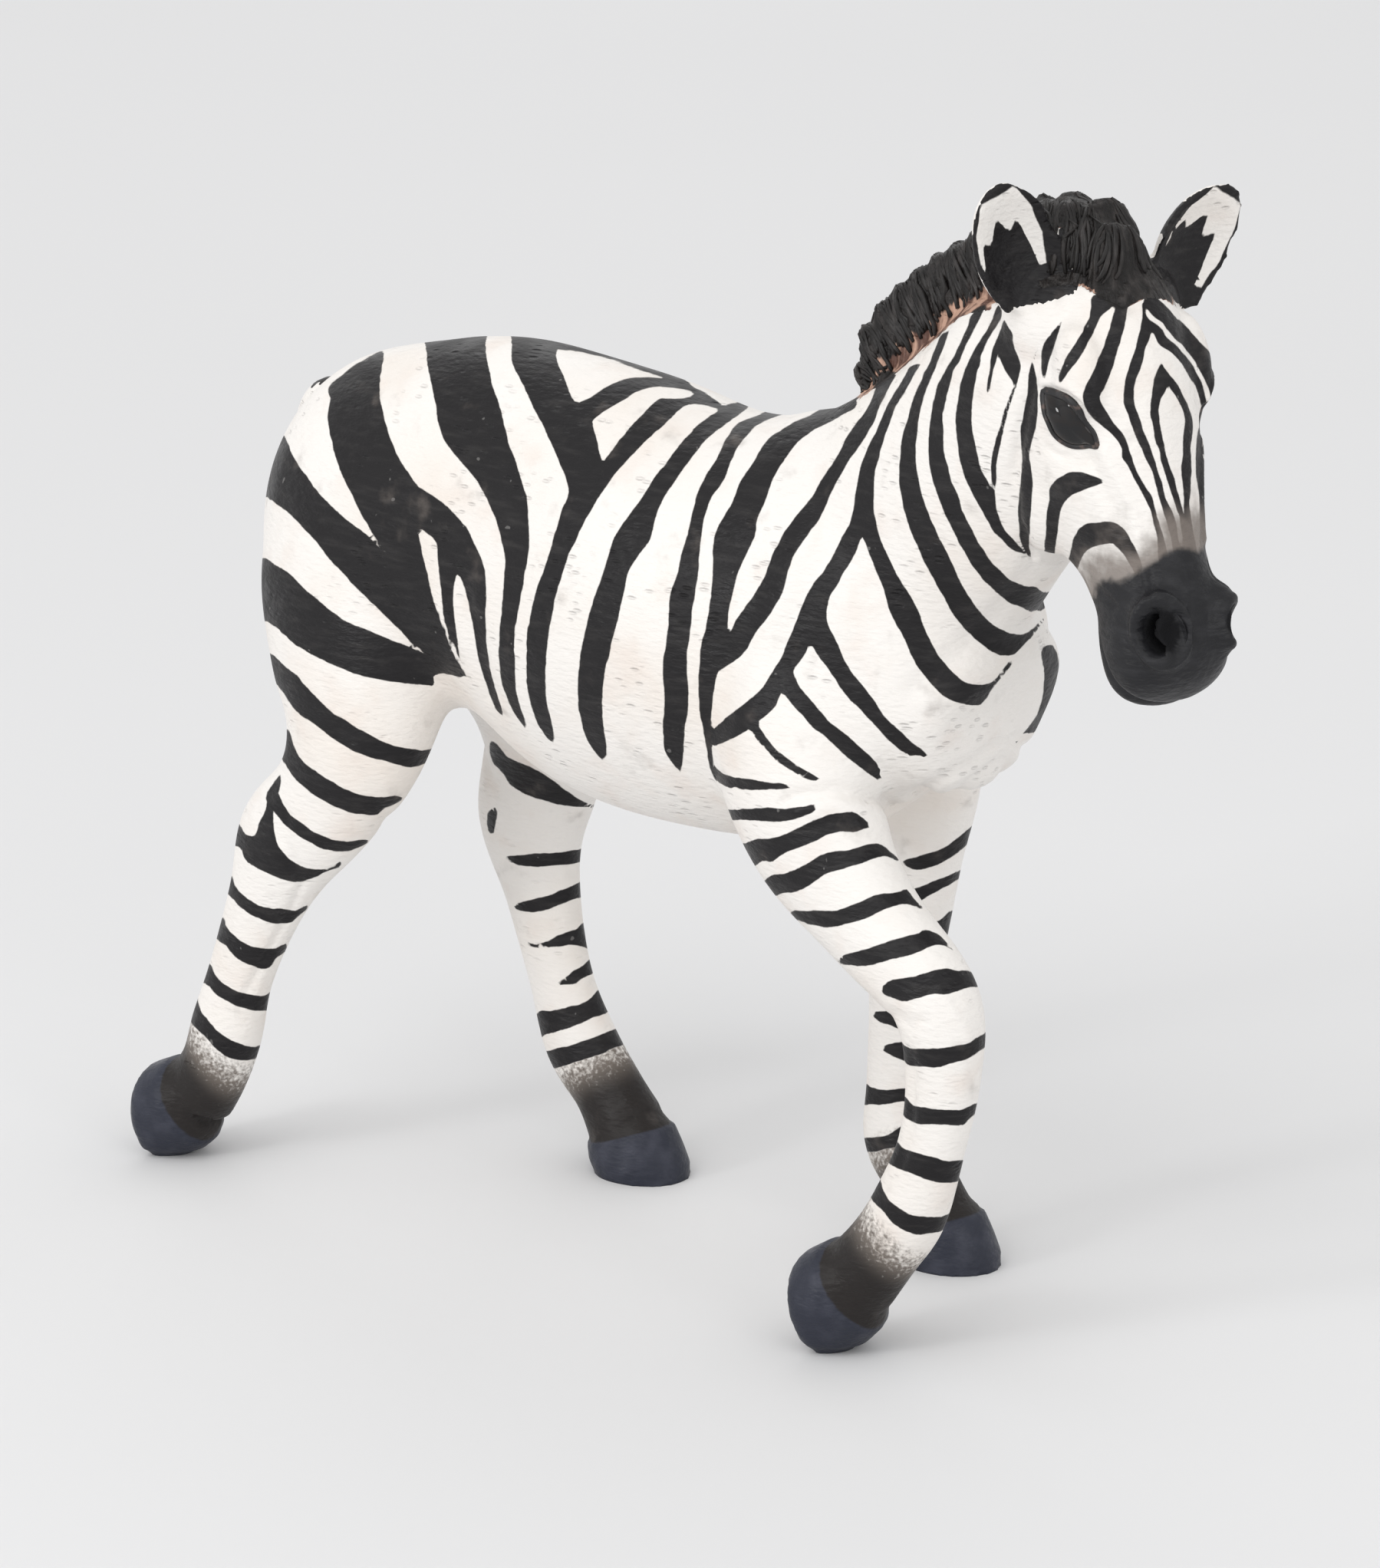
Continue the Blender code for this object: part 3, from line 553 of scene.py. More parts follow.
# Black markings, outlined in the photograph's pixels (x to the right, y down)
TRUNK_BLACK = {
    "jaw_line": [
        (1324, 500), (1317, 515), (1309, 535), (1303, 556), (1296, 580), (1292, 602),
        (1292, 625), (1295, 640), (1299, 628), (1299, 605), (1303, 584), (1309, 560),
        (1314, 538), (1320, 518),
    ],
    "haunch": [
        (362, 562), (373, 573), (385, 600), (403, 625), (422, 650), (450, 676), (480, 698),
        (505, 725), (487, 697), (472, 672), (458, 643), (446, 620), (437, 595), (430, 565),
        (427, 548), (428, 535), (430, 518), (428, 505), (450, 485), (475, 468), (500, 458),
        (496, 490), (495, 510), (498, 530), (505, 560), (512, 580), (522, 600), (533, 617),
        (544, 632), (558, 642), (570, 650), (585, 662), (600, 678), (610, 690), (617, 705),
        (624, 720), (630, 735), (633, 750), (634, 775), (633, 800), (634, 825), (636, 850),
        (640, 875), (645, 895), (653, 920), (663, 943), (675, 965), (690, 992), (672, 967),
        (660, 948), (648, 928), (640, 910), (633, 890), (627, 870), (621, 845), (617, 820),
        (613, 800), (609, 780), (604, 763), (597, 749), (592, 762), (591, 780), (592, 800),
        (594, 820), (598, 845), (603, 865), (609, 885), (603, 872), (598, 860), (592, 845),
        (586, 830), (581, 815), (577, 800), (576, 785), (574, 765), (571, 735), (570, 715),
        (568, 707), (560, 698), (546, 690), (550, 715), (554, 735), (558, 752), (562, 770),
        (568, 790), (573, 805), (580, 825), (588, 845), (597, 862), (606, 881), (590, 886),
        (580, 894), (560, 894), (520, 890), (500, 887), (475, 882), (450, 874), (420, 860),
        (400, 850), (380, 837), (365, 822), (352, 812), (333, 800), (333, 738), (345, 727),
        (360, 737), (375, 746), (395, 765), (420, 787), (450, 809), (470, 817), (500, 830),
        (525, 840), (553, 851), (535, 837), (520, 820), (500, 801), (470, 772), (450, 751),
        (430, 730), (415, 710), (400, 693), (378, 671), (352, 651), (340, 645), (326, 640),
        (335, 590),
    ],
    "croup": [
        (555, 430), (555, 450), (557, 475), (562, 500), (567, 525), (571, 550), (576, 568),
        (583, 580), (591, 591), (599, 600), (608, 610), (620, 625), (634, 650), (646, 675),
        (652, 700), (658, 725), (657, 750), (656, 775), (653, 800), (651, 825), (650, 850),
        (652, 875), (657, 900), (668, 925), (680, 950), (693, 975), (709, 999), (700, 975),
        (690, 950), (680, 925), (673, 900), (672, 875), (671, 850), (671, 825), (675, 800),
        (680, 775), (684, 750), (689, 725), (690, 700), (689, 675), (687, 650), (680, 625),
        (672, 600), (663, 575), (657, 550), (650, 525), (642, 500), (636, 475), (633, 450),
        (636, 436), (641, 415),
    ],
    "loin": [
        (668, 420), (667, 450), (668, 475), (681, 500), (692, 525), (705, 550), (717, 575),
        (728, 600), (738, 625), (741, 645), (733, 660), (729, 675), (722, 700), (715, 725),
        (706, 750), (699, 770), (692, 800), (687, 825), (686, 850), (686, 875), (688, 900),
        (694, 925), (703, 950), (715, 975), (730, 995), (745, 1012), (760, 1030), (772, 1038),
        (765, 1025), (750, 1005), (740, 990), (730, 970), (722, 950), (715, 925), (711, 900),
        (711, 875), (713, 850), (716, 825), (720, 800), (725, 775), (733, 750), (741, 725),
        (753, 700), (765, 675), (780, 650), (797, 625), (815, 603), (835, 582), (850, 567),
        (870, 550), (885, 535), (895, 528), (905, 527), (925, 530), (950, 538), (925, 515),
        (905, 505), (880, 483), (850, 462), (800, 442), (760, 430), (700, 420),
    ],
    "back_1": [
        (948, 527), (932, 538), (914, 550), (900, 564), (888, 577), (871, 600), (851, 625),
        (836, 650), (817, 675), (801, 700), (793, 725), (785, 750), (776, 775), (768, 800),
        (762, 825), (757, 850), (754, 875), (753, 900), (755, 925), (760, 950), (768, 975),
        (777, 1000), (790, 1018), (805, 1034), (805, 1015), (801, 1000), (793, 975), (787, 950),
        (785, 925), (786, 900), (789, 875), (795, 850), (801, 825), (807, 800), (813, 775),
        (818, 750), (832, 725), (849, 700), (855, 675), (865, 650), (881, 625), (899, 600),
        (921, 573), (936, 560), (951, 550), (972, 534), (985, 522),
    ],
    "back_2": [
        (1012, 516), (1004, 532), (988, 541), (963, 551), (953, 562), (944, 575), (933, 600),
        (917, 625), (907, 650), (901, 675), (895, 700), (888, 725), (882, 750), (874, 775),
        (872, 800), (870, 825), (866, 850), (864, 875), (865, 900), (866, 925), (864, 950),
        (866, 975), (876, 1000), (887, 1020), (893, 1029), (896, 1018), (892, 1000), (891, 975),
        (893, 950), (897, 925), (898, 900), (896, 875), (896, 850), (900, 825), (902, 800),
        (906, 775), (910, 750), (912, 725), (914, 700), (918, 675), (927, 650), (944, 625),
        (954, 600), (967, 575), (979, 562), (992, 551), (1018, 541), (1036, 530), (1055, 512),
    ],
    "back_3": [
        (1090, 506), (1071, 530), (1059, 540), (1035, 550), (1014, 563), (999, 575), (983, 600),
        (966, 625), (957, 650), (942, 675), (931, 700), (929, 725), (929, 750), (927, 775),
        (923, 800), (919, 820), (915, 835), (913, 850), (911, 875), (910, 900), (912, 925),
        (916, 950), (921, 975), (925, 1000), (932, 1016), (931, 1000), (928, 975), (927, 950),
        (928, 925), (931, 900), (936, 876), (943, 872), (954, 865), (965, 856), (976, 842),
        (985, 825), (996, 812), (1005, 799), (1019, 775), (1026, 750), (1035, 725), (1051, 700),
        (1069, 675), (1080, 650), (1093, 625), (1107, 600), (1125, 575), (1140, 550),
        (1149, 525), (1162, 500), (1168, 488), (1150, 486), (1143, 500), (1136, 521),
        (1125, 540), (1117, 551), (1101, 575), (1088, 600), (1071, 625), (1057, 650),
        (1035, 675), (1019, 700), (1006, 725), (997, 750), (983, 775), (968, 795), (957, 811),
        (949, 830), (950, 800), (955, 775), (961, 750), (972, 725), (984, 700), (988, 675),
        (999, 650), (1008, 625), (1022, 600), (1042, 575), (1060, 562), (1082, 550),
        (1100, 540), (1118, 529), (1110, 512),
    ],
    "shoulder": [
        (1187, 478), (1181, 487), (1173, 500), (1165, 513), (1155, 532), (1148, 549),
        (1138, 570), (1129, 589), (1122, 608), (1118, 627), (1114, 650), (1110, 675),
        (1098, 700), (1089, 717), (1075, 743), (1067, 752), (1057, 765), (1048, 783),
        (1042, 800), (1036, 814), (1031, 827), (1024, 841), (1019, 856), (1010, 870),
        (999, 888), (990, 901), (976, 913), (961, 924), (950, 933), (938, 944), (926, 956),
        (924, 972), (934, 972), (952, 964), (967, 957), (977, 951), (988, 966), (1006, 986),
        (1024, 1000), (1042, 1011), (1060, 1018), (1072, 1018), (1064, 1012), (1046, 1002),
        (1028, 989), (1010, 975), (996, 957), (988, 942), (999, 933), (1010, 922), (1014, 913),
        (1020, 903), (1028, 913), (1042, 928), (1057, 946), (1075, 960), (1093, 977),
        (1111, 993), (1133, 1009), (1149, 1020), (1160, 1018), (1158, 1012), (1144, 996),
        (1126, 978), (1104, 958), (1086, 944), (1068, 926), (1053, 908), (1041, 892),
        (1035, 875), (1042, 863), (1050, 852), (1056, 841), (1064, 852), (1075, 866),
        (1086, 881), (1097, 899), (1111, 915), (1129, 933), (1147, 953), (1165, 971),
        (1183, 984), (1201, 989), (1210, 986), (1201, 976), (1187, 966), (1169, 949),
        (1151, 931), (1140, 913), (1126, 895), (1111, 877), (1100, 859), (1093, 841),
        (1086, 827), (1079, 812), (1078, 794), (1082, 778), (1090, 765), (1100, 747),
        (1111, 729), (1118, 715), (1124, 701), (1133, 722), (1140, 740), (1149, 762),
        (1156, 783), (1160, 798), (1169, 816), (1180, 837), (1187, 852), (1194, 866),
        (1205, 881), (1219, 897), (1234, 910), (1248, 916), (1263, 919), (1276, 920),
        (1285, 912), (1295, 897), (1306, 883), (1320, 866), (1315, 862), (1299, 884),
        (1288, 891), (1274, 892), (1259, 889), (1245, 879), (1227, 859), (1216, 841),
        (1205, 819), (1198, 798), (1187, 776), (1172, 754), (1162, 733), (1151, 711),
        (1145, 693), (1141, 675), (1139, 651), (1140, 623), (1142, 608), (1146, 598),
        (1149, 585), (1154, 568), (1161, 551), (1167, 532), (1176, 517), (1186, 500),
        (1194, 485), (1200, 474),
    ],
    "neck_1": [
        (1226, 438), (1220, 453), (1210, 476), (1204, 487), (1199, 500), (1193, 513),
        (1189, 525), (1185, 538), (1182, 551), (1177, 566), (1174, 581), (1173, 598),
        (1172, 617), (1173, 636), (1176, 655), (1181, 672), (1186, 689), (1194, 709),
        (1205, 733), (1216, 754), (1227, 773), (1241, 798), (1252, 814), (1266, 828),
        (1281, 841), (1299, 852), (1313, 855), (1324, 852), (1337, 839), (1350, 825),
        (1362, 806), (1353, 812), (1342, 823), (1331, 827), (1317, 825), (1302, 819),
        (1284, 805), (1270, 787), (1256, 765), (1245, 744), (1234, 719), (1223, 697),
        (1214, 678), (1208, 662), (1202, 645), (1198, 627), (1195, 608), (1194, 589),
        (1195, 574), (1196, 559), (1198, 547), (1201, 532), (1205, 517), (1210, 502),
        (1216, 487), (1221, 476), (1227, 462), (1233, 445), (1238, 430),
    ],
    "neck_2": [
        (1266, 410), (1261, 425), (1257, 434), (1252, 445), (1246, 459), (1240, 470),
        (1233, 481), (1227, 493), (1221, 506), (1218, 517), (1215, 532), (1213, 547),
        (1211, 561), (1210, 576), (1210, 593), (1212, 610), (1215, 625), (1220, 638),
        (1225, 653), (1231, 668), (1238, 683), (1246, 699), (1256, 718), (1267, 737),
        (1280, 754), (1290, 764), (1300, 773), (1310, 782), (1320, 788), (1332, 792),
        (1344, 798), (1350, 795), (1358, 796), (1366, 786), (1374, 772), (1388, 750),
        (1378, 764), (1368, 771), (1359, 772), (1351, 765), (1340, 765), (1328, 761),
        (1316, 755), (1304, 744), (1292, 732), (1281, 715), (1274, 704), (1267, 689),
        (1259, 676), (1254, 665), (1251, 651), (1246, 640), (1240, 627), (1236, 610),
        (1232, 595), (1230, 578), (1230, 561), (1229, 545), (1231, 532), (1234, 517),
        (1237, 506), (1240, 493), (1244, 481), (1250, 472), (1254, 462), (1259, 451),
        (1265, 440), (1271, 428), (1277, 415), (1283, 400),
    ],
    "neck_3": [
        (1300, 398), (1296, 409), (1291, 421), (1286, 432), (1278, 443), (1272, 453),
        (1267, 462), (1261, 474), (1257, 481), (1255, 491), (1252, 502), (1249, 517),
        (1247, 532), (1246, 547), (1246, 562), (1248, 579), (1251, 597), (1255, 612),
        (1259, 625), (1265, 638), (1272, 653), (1280, 666), (1288, 680), (1295, 693),
        (1305, 702), (1316, 714), (1325, 719), (1338, 722), (1327, 710), (1318, 700),
        (1310, 691), (1303, 676), (1299, 661), (1298, 650), (1297, 636), (1297, 619),
        (1299, 604), (1302, 589), (1305, 574), (1308, 557), (1311, 544), (1316, 528),
        (1321, 513), (1325, 503), (1322, 503), (1318, 513), (1313, 525), (1308, 540),
        (1305, 557), (1301, 570), (1297, 583), (1294, 597), (1293, 608), (1292, 623),
        (1293, 637), (1287, 625), (1282, 617), (1277, 604), (1273, 589), (1271, 576),
        (1268, 564), (1267, 551), (1267, 536), (1268, 521), (1270, 504), (1272, 493),
        (1274, 483), (1277, 476), (1279, 464), (1283, 455), (1288, 443), (1293, 434),
        (1301, 423), (1306, 411), (1304, 398),
    ],
    "neck_4": [
        (1309, 417), (1314, 426), (1320, 434), (1321, 445), (1324, 455), (1328, 466),
        (1331, 476), (1330, 485), (1327, 494), (1323, 504), (1318, 494), (1310, 483),
        (1305, 472), (1301, 462), (1299, 472), (1296, 481), (1293, 494), (1291, 506),
        (1288, 513), (1286, 508), (1288, 494), (1290, 481), (1291, 468), (1294, 455),
        (1299, 442), (1305, 428),
    ],
    "thigh_1": [
        (335, 845), (358, 855), (375, 872), (388, 881), (402, 898), (427, 923), (450, 939),
        (473, 953), (500, 967), (523, 974), (551, 978), (568, 975), (574, 985), (550, 997),
        (535, 1000), (523, 998), (500, 992), (480, 987), (455, 976), (437, 965), (416, 949),
        (391, 932), (377, 916), (368, 902), (358, 890), (335, 875),
    ],
    "chest_1": [
        (1320, 969), (1328, 962), (1339, 949), (1350, 935), (1357, 917), (1360, 899),
        (1361, 877), (1358, 845), (1378, 850), (1385, 940), (1362, 948), (1346, 958),
        (1331, 967),
    ],
    "chest_2": [(1327, 995), (1337, 987), (1352, 979), (1356, 984), (1340, 992)],
    "breast": [
        (1176, 1124), (1189, 1118), (1206, 1113), (1224, 1108), (1241, 1098), (1258, 1084),
        (1273, 1070), (1284, 1054), (1293, 1039), (1306, 1018), (1312, 1030), (1296, 1052),
        (1289, 1066), (1279, 1081), (1264, 1097), (1250, 1110), (1232, 1123), (1215, 1130),
        (1198, 1134), (1184, 1131),
    ],
}

# White wedges cut back out of the black above
TRUNK_WHITE = {
    "loin_wedge_1": [
        (725, 458), (731, 456), (760, 460), (800, 470), (830, 481), (866, 493), (840, 491),
        (815, 494), (797, 501), (780, 511), (765, 521), (753, 525), (747, 520), (741, 507),
        (735, 490), (728, 475),
    ],
    "loin_wedge_2": [
        (772, 549), (785, 538), (800, 529), (815, 520), (830, 511), (845, 506), (865, 504),
        (885, 507), (905, 512), (892, 519), (875, 519), (863, 519), (850, 527), (838, 540),
        (825, 552), (815, 565), (800, 583), (790, 597), (785, 600), (782, 590), (778, 575),
        (775, 560),
    ],
}

HEAD_BLACK = {
    "jaw_line": TRUNK_BLACK["jaw_line"],
    "cheek_1": [
        (1353, 452), (1349, 462), (1344, 474), (1341, 487), (1339, 499), (1339, 512),
        (1336, 525), (1334, 540), (1331, 554), (1330, 567), (1331, 580), (1332, 592),
        (1332, 605), (1331, 620), (1330, 632), (1328, 649), (1327, 666), (1328, 683),
        (1329, 700), (1331, 708), (1335, 716), (1340, 724), (1349, 732), (1344, 722),
        (1342, 710), (1342, 698), (1343, 681), (1344, 664), (1346, 649), (1346, 637),
        (1346, 622), (1344, 609), (1342, 597), (1343, 584), (1347, 571), (1350, 559),
        (1352, 546), (1353, 529), (1353, 512), (1352, 499), (1350, 487), (1348, 474),
        (1350, 465),
    ],
    "cheek_2": [
        (1441, 628), (1433, 623), (1423, 619), (1412, 616), (1401, 615), (1391, 617),
        (1380, 623), (1372, 630), (1368, 639), (1368, 649), (1366, 662), (1364, 677),
        (1363, 700), (1361, 720), (1363, 732), (1368, 742), (1376, 749), (1387, 753),
        (1380, 748), (1376, 742), (1374, 730), (1375, 720), (1377, 706), (1379, 694),
        (1380, 687), (1381, 673), (1384, 662), (1389, 653), (1397, 646), (1410, 640),
        (1423, 635), (1433, 632),
    ],
    "cheek_3": [
        (1388, 752), (1391, 740), (1394, 724), (1397, 710), (1401, 698), (1408, 688),
        (1418, 682), (1430, 681), (1440, 680), (1452, 681), (1462, 686), (1469, 694),
        (1476, 706), (1482, 718), (1486, 728), (1490, 742), (1480, 750), (1478, 746),
        (1473, 736), (1468, 728), (1462, 720), (1456, 714), (1451, 709), (1444, 709),
        (1434, 710), (1424, 713), (1416, 719), (1410, 728), (1406, 738), (1402, 748),
        (1399, 760), (1390, 756),
    ],
    "brow_1": [
        (1383, 419), (1376, 428), (1370, 436), (1363, 444), (1359, 453), (1357, 463),
        (1357, 476), (1358, 487), (1361, 496), (1364, 487), (1367, 474), (1371, 461),
        (1375, 449), (1379, 436), (1383, 424),
    ],
    "brow_2": [
        (1425, 385), (1422, 400), (1420, 413), (1415, 423), (1410, 434), (1404, 444),
        (1399, 453), (1393, 461), (1387, 472), (1382, 485), (1380, 495), (1382, 500),
        (1388, 493), (1395, 482), (1404, 472), (1412, 459), (1419, 447), (1425, 434),
        (1431, 421), (1437, 410), (1446, 404), (1454, 396), (1460, 380),
    ],
    "face_1": [
        (1456, 395), (1452, 405), (1449, 417), (1445, 432), (1440, 447), (1434, 461),
        (1429, 476), (1423, 489), (1416, 501), (1411, 514), (1412, 525), (1416, 535),
        (1425, 546), (1435, 554), (1448, 565), (1456, 575), (1462, 586), (1463, 597),
        (1469, 605), (1475, 618), (1484, 635), (1492, 649), (1499, 664), (1503, 681),
        (1508, 700), (1511, 735), (1522, 728), (1517, 700), (1511, 679), (1506, 662),
        (1501, 647), (1492, 632), (1484, 618), (1478, 603), (1473, 590), (1471, 580),
        (1466, 569), (1459, 559), (1450, 548), (1442, 535), (1435, 523), (1435, 514),
        (1441, 504), (1446, 491), (1451, 476), (1456, 459), (1461, 444), (1465, 430),
        (1468, 415), (1470, 402), (1472, 385),
    ],
    "face_2": [
        (1489, 396), (1489, 409), (1487, 425), (1483, 442), (1478, 459), (1472, 476),
        (1468, 491), (1465, 508), (1465, 523), (1468, 535), (1473, 548), (1478, 561),
        (1482, 573), (1488, 586), (1494, 599), (1501, 613), (1506, 630), (1511, 649),
        (1516, 666), (1521, 683), (1526, 700), (1531, 722), (1540, 722), (1536, 700),
        (1533, 681), (1527, 664), (1520, 649), (1516, 632), (1511, 618), (1506, 603),
        (1501, 588), (1497, 578), (1492, 565), (1488, 552), (1484, 540), (1479, 525),
        (1478, 512), (1480, 497), (1485, 485), (1490, 470), (1493, 455), (1498, 444),
        (1502, 434), (1508, 444), (1513, 451), (1524, 458), (1535, 468), (1544, 480),
        (1552, 493), (1559, 506), (1563, 518), (1566, 533), (1564, 550), (1561, 565),
        (1559, 580), (1558, 597), (1560, 625), (1563, 650), (1564, 675), (1566, 722),
        (1590, 722), (1582, 650), (1574, 610), (1568, 590), (1568, 567), (1571, 554),
        (1573, 540), (1573, 527), (1570, 512), (1566, 497), (1560, 485), (1552, 472),
        (1543, 461), (1532, 449), (1522, 441), (1518, 436), (1516, 430), (1509, 423),
        (1499, 417), (1494, 409), (1494, 396),
    ],
    "face_3": [
        (1514, 474), (1509, 482), (1505, 493), (1502, 506), (1500, 520), (1499, 537),
        (1502, 552), (1504, 565), (1507, 578), (1511, 588), (1513, 601), (1517, 613),
        (1522, 628), (1527, 645), (1532, 660), (1538, 676), (1541, 700), (1542, 722),
        (1560, 722), (1557, 700), (1553, 677), (1551, 656), (1552, 641), (1553, 625),
        (1554, 613), (1553, 599), (1552, 584), (1554, 571), (1555, 556), (1554, 544),
        (1550, 531), (1545, 520), (1539, 508), (1532, 497), (1526, 489), (1520, 481),
    ],
    "face_4": [
        (1490, 394), (1497, 405), (1505, 414), (1516, 421), (1522, 430), (1530, 440),
        (1541, 450), (1550, 461), (1558, 472), (1564, 485), (1572, 497), (1577, 510),
        (1579, 523), (1579, 537), (1576, 550), (1572, 565), (1568, 580), (1566, 592),
        (1590, 590), (1610, 545), (1610, 505), (1590, 475), (1560, 440), (1530, 410),
        (1500, 382),
    ],
}

HEAD_WHITE = {
    "diamond": [
        (1523, 502), (1519, 510), (1514, 520), (1511, 535), (1512, 550), (1515, 565),
        (1518, 580), (1521, 594), (1525, 607), (1531, 624), (1534, 637), (1538, 649),
        (1542, 664), (1543, 671), (1543, 655), (1542, 640), (1541, 626), (1540, 613),
        (1541, 599), (1542, 582), (1543, 565), (1544, 550), (1542, 537), (1538, 527),
        (1532, 516), (1526, 508),
    ],
}

EYE_OUTLINE = [
    (1361, 511), (1370, 511), (1378, 514), (1389, 518), (1398, 525), (1406, 535),
    (1412, 546), (1418, 554), (1425, 563), (1429, 573), (1430, 582), (1420, 581),
    (1412, 582), (1401, 582), (1391, 579), (1380, 572), (1372, 563), (1366, 550),
    (1362, 540), (1361, 527),
]

# The charcoal airbrushed over the muzzle
MUZZLE_OUTLINE = [
    (1420, 830), (1414, 806), (1416, 790), (1422, 781), (1428, 774),
    (1431, 766), (1435, 759), (1440, 756), (1447, 756), (1452, 760), (1460, 760),
    (1470, 755), (1476, 750), (1481, 748), (1490, 739), (1498, 738), (1504, 735),
    (1510, 731), (1515, 726), (1522, 723), (1529, 721), (1538, 718), (1542, 717),
    (1554, 717), (1562, 719), (1568, 716), (1590, 716), (1640, 780), (1640, 860),
    (1600, 930), (1520, 950), (1440, 900), (1420, 850),
]

RIGHT_HIND_BLACK = {
    "thigh_2": [
        (376, 950), (383, 970), (388, 983), (402, 999), (423, 1013), (450, 1028), (473, 1036),
        (500, 1039), (516, 1037), (526, 1042), (500, 1055), (492, 1062), (473, 1062),
        (450, 1057), (427, 1047), (402, 1031), (384, 1015), (372, 997), (364, 980), (366, 960),
    ],
    "thigh_3": [
        (362, 1034), (370, 1049), (380, 1063), (402, 1079), (423, 1091), (450, 1097),
        (473, 1094), (480, 1099), (457, 1109), (437, 1110), (416, 1105), (395, 1093),
        (377, 1081), (363, 1065), (354, 1050),
    ],
    "hock": [
        (366, 1010), (363, 1036), (356, 1054), (357, 1068), (359, 1090), (366, 1108),
        (384, 1124), (402, 1132), (423, 1133), (434, 1129), (444, 1122), (442, 1130),
        (423, 1137), (409, 1145), (388, 1150), (370, 1147), (352, 1140), (334, 1131),
        (322, 1124), (316, 1111), (314, 1104), (303, 1102), (300, 1086), (310, 1073),
        (316, 1079), (319, 1087), (332, 1089), (338, 1072), (345, 1058), (348, 1048),
        (346, 1042), (348, 1033), (354, 1024),
    ],
    "cannon_1": [
        (302, 1141), (306, 1154), (316, 1166), (331, 1177), (348, 1183), (370, 1185),
        (386, 1187), (400, 1179), (400, 1186), (388, 1195), (379, 1203), (359, 1204),
        (338, 1198), (324, 1191), (313, 1182), (304, 1172), (295, 1163), (294, 1148),
    ],
    "cannon_2": [
        (292, 1195), (297, 1211), (309, 1223), (324, 1232), (341, 1236), (359, 1236),
        (373, 1230), (373, 1240), (361, 1248), (355, 1257), (345, 1263), (331, 1260),
        (316, 1253), (302, 1243), (293, 1232), (280, 1222), (280, 1206),
    ],
    "cannon_3": [
        (274, 1256), (281, 1271), (292, 1282), (306, 1291), (320, 1295), (338, 1298),
        (348, 1296), (362, 1288), (362, 1305), (352, 1316), (338, 1318), (320, 1315),
        (302, 1309), (284, 1298), (272, 1286), (259, 1275), (262, 1260),
    ],
    "fetlock": [
        (255, 1293), (260, 1314), (270, 1328), (281, 1342), (295, 1351), (309, 1359),
        (324, 1364), (334, 1364), (349, 1358), (349, 1368), (338, 1374), (331, 1381),
        (316, 1382), (299, 1380), (281, 1367), (267, 1351), (254, 1339), (243, 1322),
        (245, 1298),
    ],
}

LEFT_HIND_BLACK = {
    "thigh_1": [
        (640, 965), (657, 980), (662, 986), (676, 993), (691, 999), (703, 1005), (721, 1017),
        (738, 1030), (755, 1042), (777, 1050), (795, 1053), (777, 1053), (752, 1052),
        (727, 1049), (703, 1042), (683, 1034), (665, 1023), (658, 1011), (640, 990),
    ],
    "thigh_2": [
        (656, 1117), (683, 1114), (703, 1112), (727, 1111), (748, 1108), (762, 1104),
        (777, 1090), (777, 1105), (766, 1120), (755, 1124), (738, 1127), (714, 1129),
        (690, 1130), (676, 1128), (662, 1122),
    ],
    "hock_point": [(636, 1060), (646, 1052), (648, 1062), (646, 1075), (643, 1087), (636, 1082)],
    "hock": [
        (670, 1180), (683, 1175), (700, 1171), (717, 1167), (731, 1161), (748, 1154),
        (759, 1148), (772, 1138), (770, 1158), (761, 1168), (745, 1174), (727, 1180),
        (710, 1187), (693, 1189), (675, 1186),
    ],
    "cannon_1": [
        (683, 1226), (693, 1230), (710, 1228), (727, 1219), (741, 1214), (753, 1210),
        (765, 1199), (770, 1215), (772, 1238), (764, 1236), (748, 1232), (727, 1234),
        (703, 1236), (691, 1233),
    ],
    "cannon_2": [
        (727, 1282), (738, 1274), (748, 1265), (762, 1257), (774, 1246), (780, 1262),
        (771, 1270), (758, 1277), (748, 1283), (729, 1284),
    ],
    "cannon_3": [
        (698, 1321), (721, 1317), (738, 1313), (755, 1309), (769, 1302), (786, 1288),
        (796, 1316), (772, 1327), (758, 1334), (738, 1341), (724, 1346), (713, 1348),
        (702, 1352),
    ],
    "fetlock": [
        (698, 1373), (712, 1370), (727, 1366), (745, 1362), (762, 1356), (779, 1351),
        (791, 1346), (808, 1341), (814, 1360), (803, 1365), (793, 1370), (779, 1376),
        (755, 1383), (738, 1389), (722, 1393), (712, 1389), (698, 1392),
    ],
}

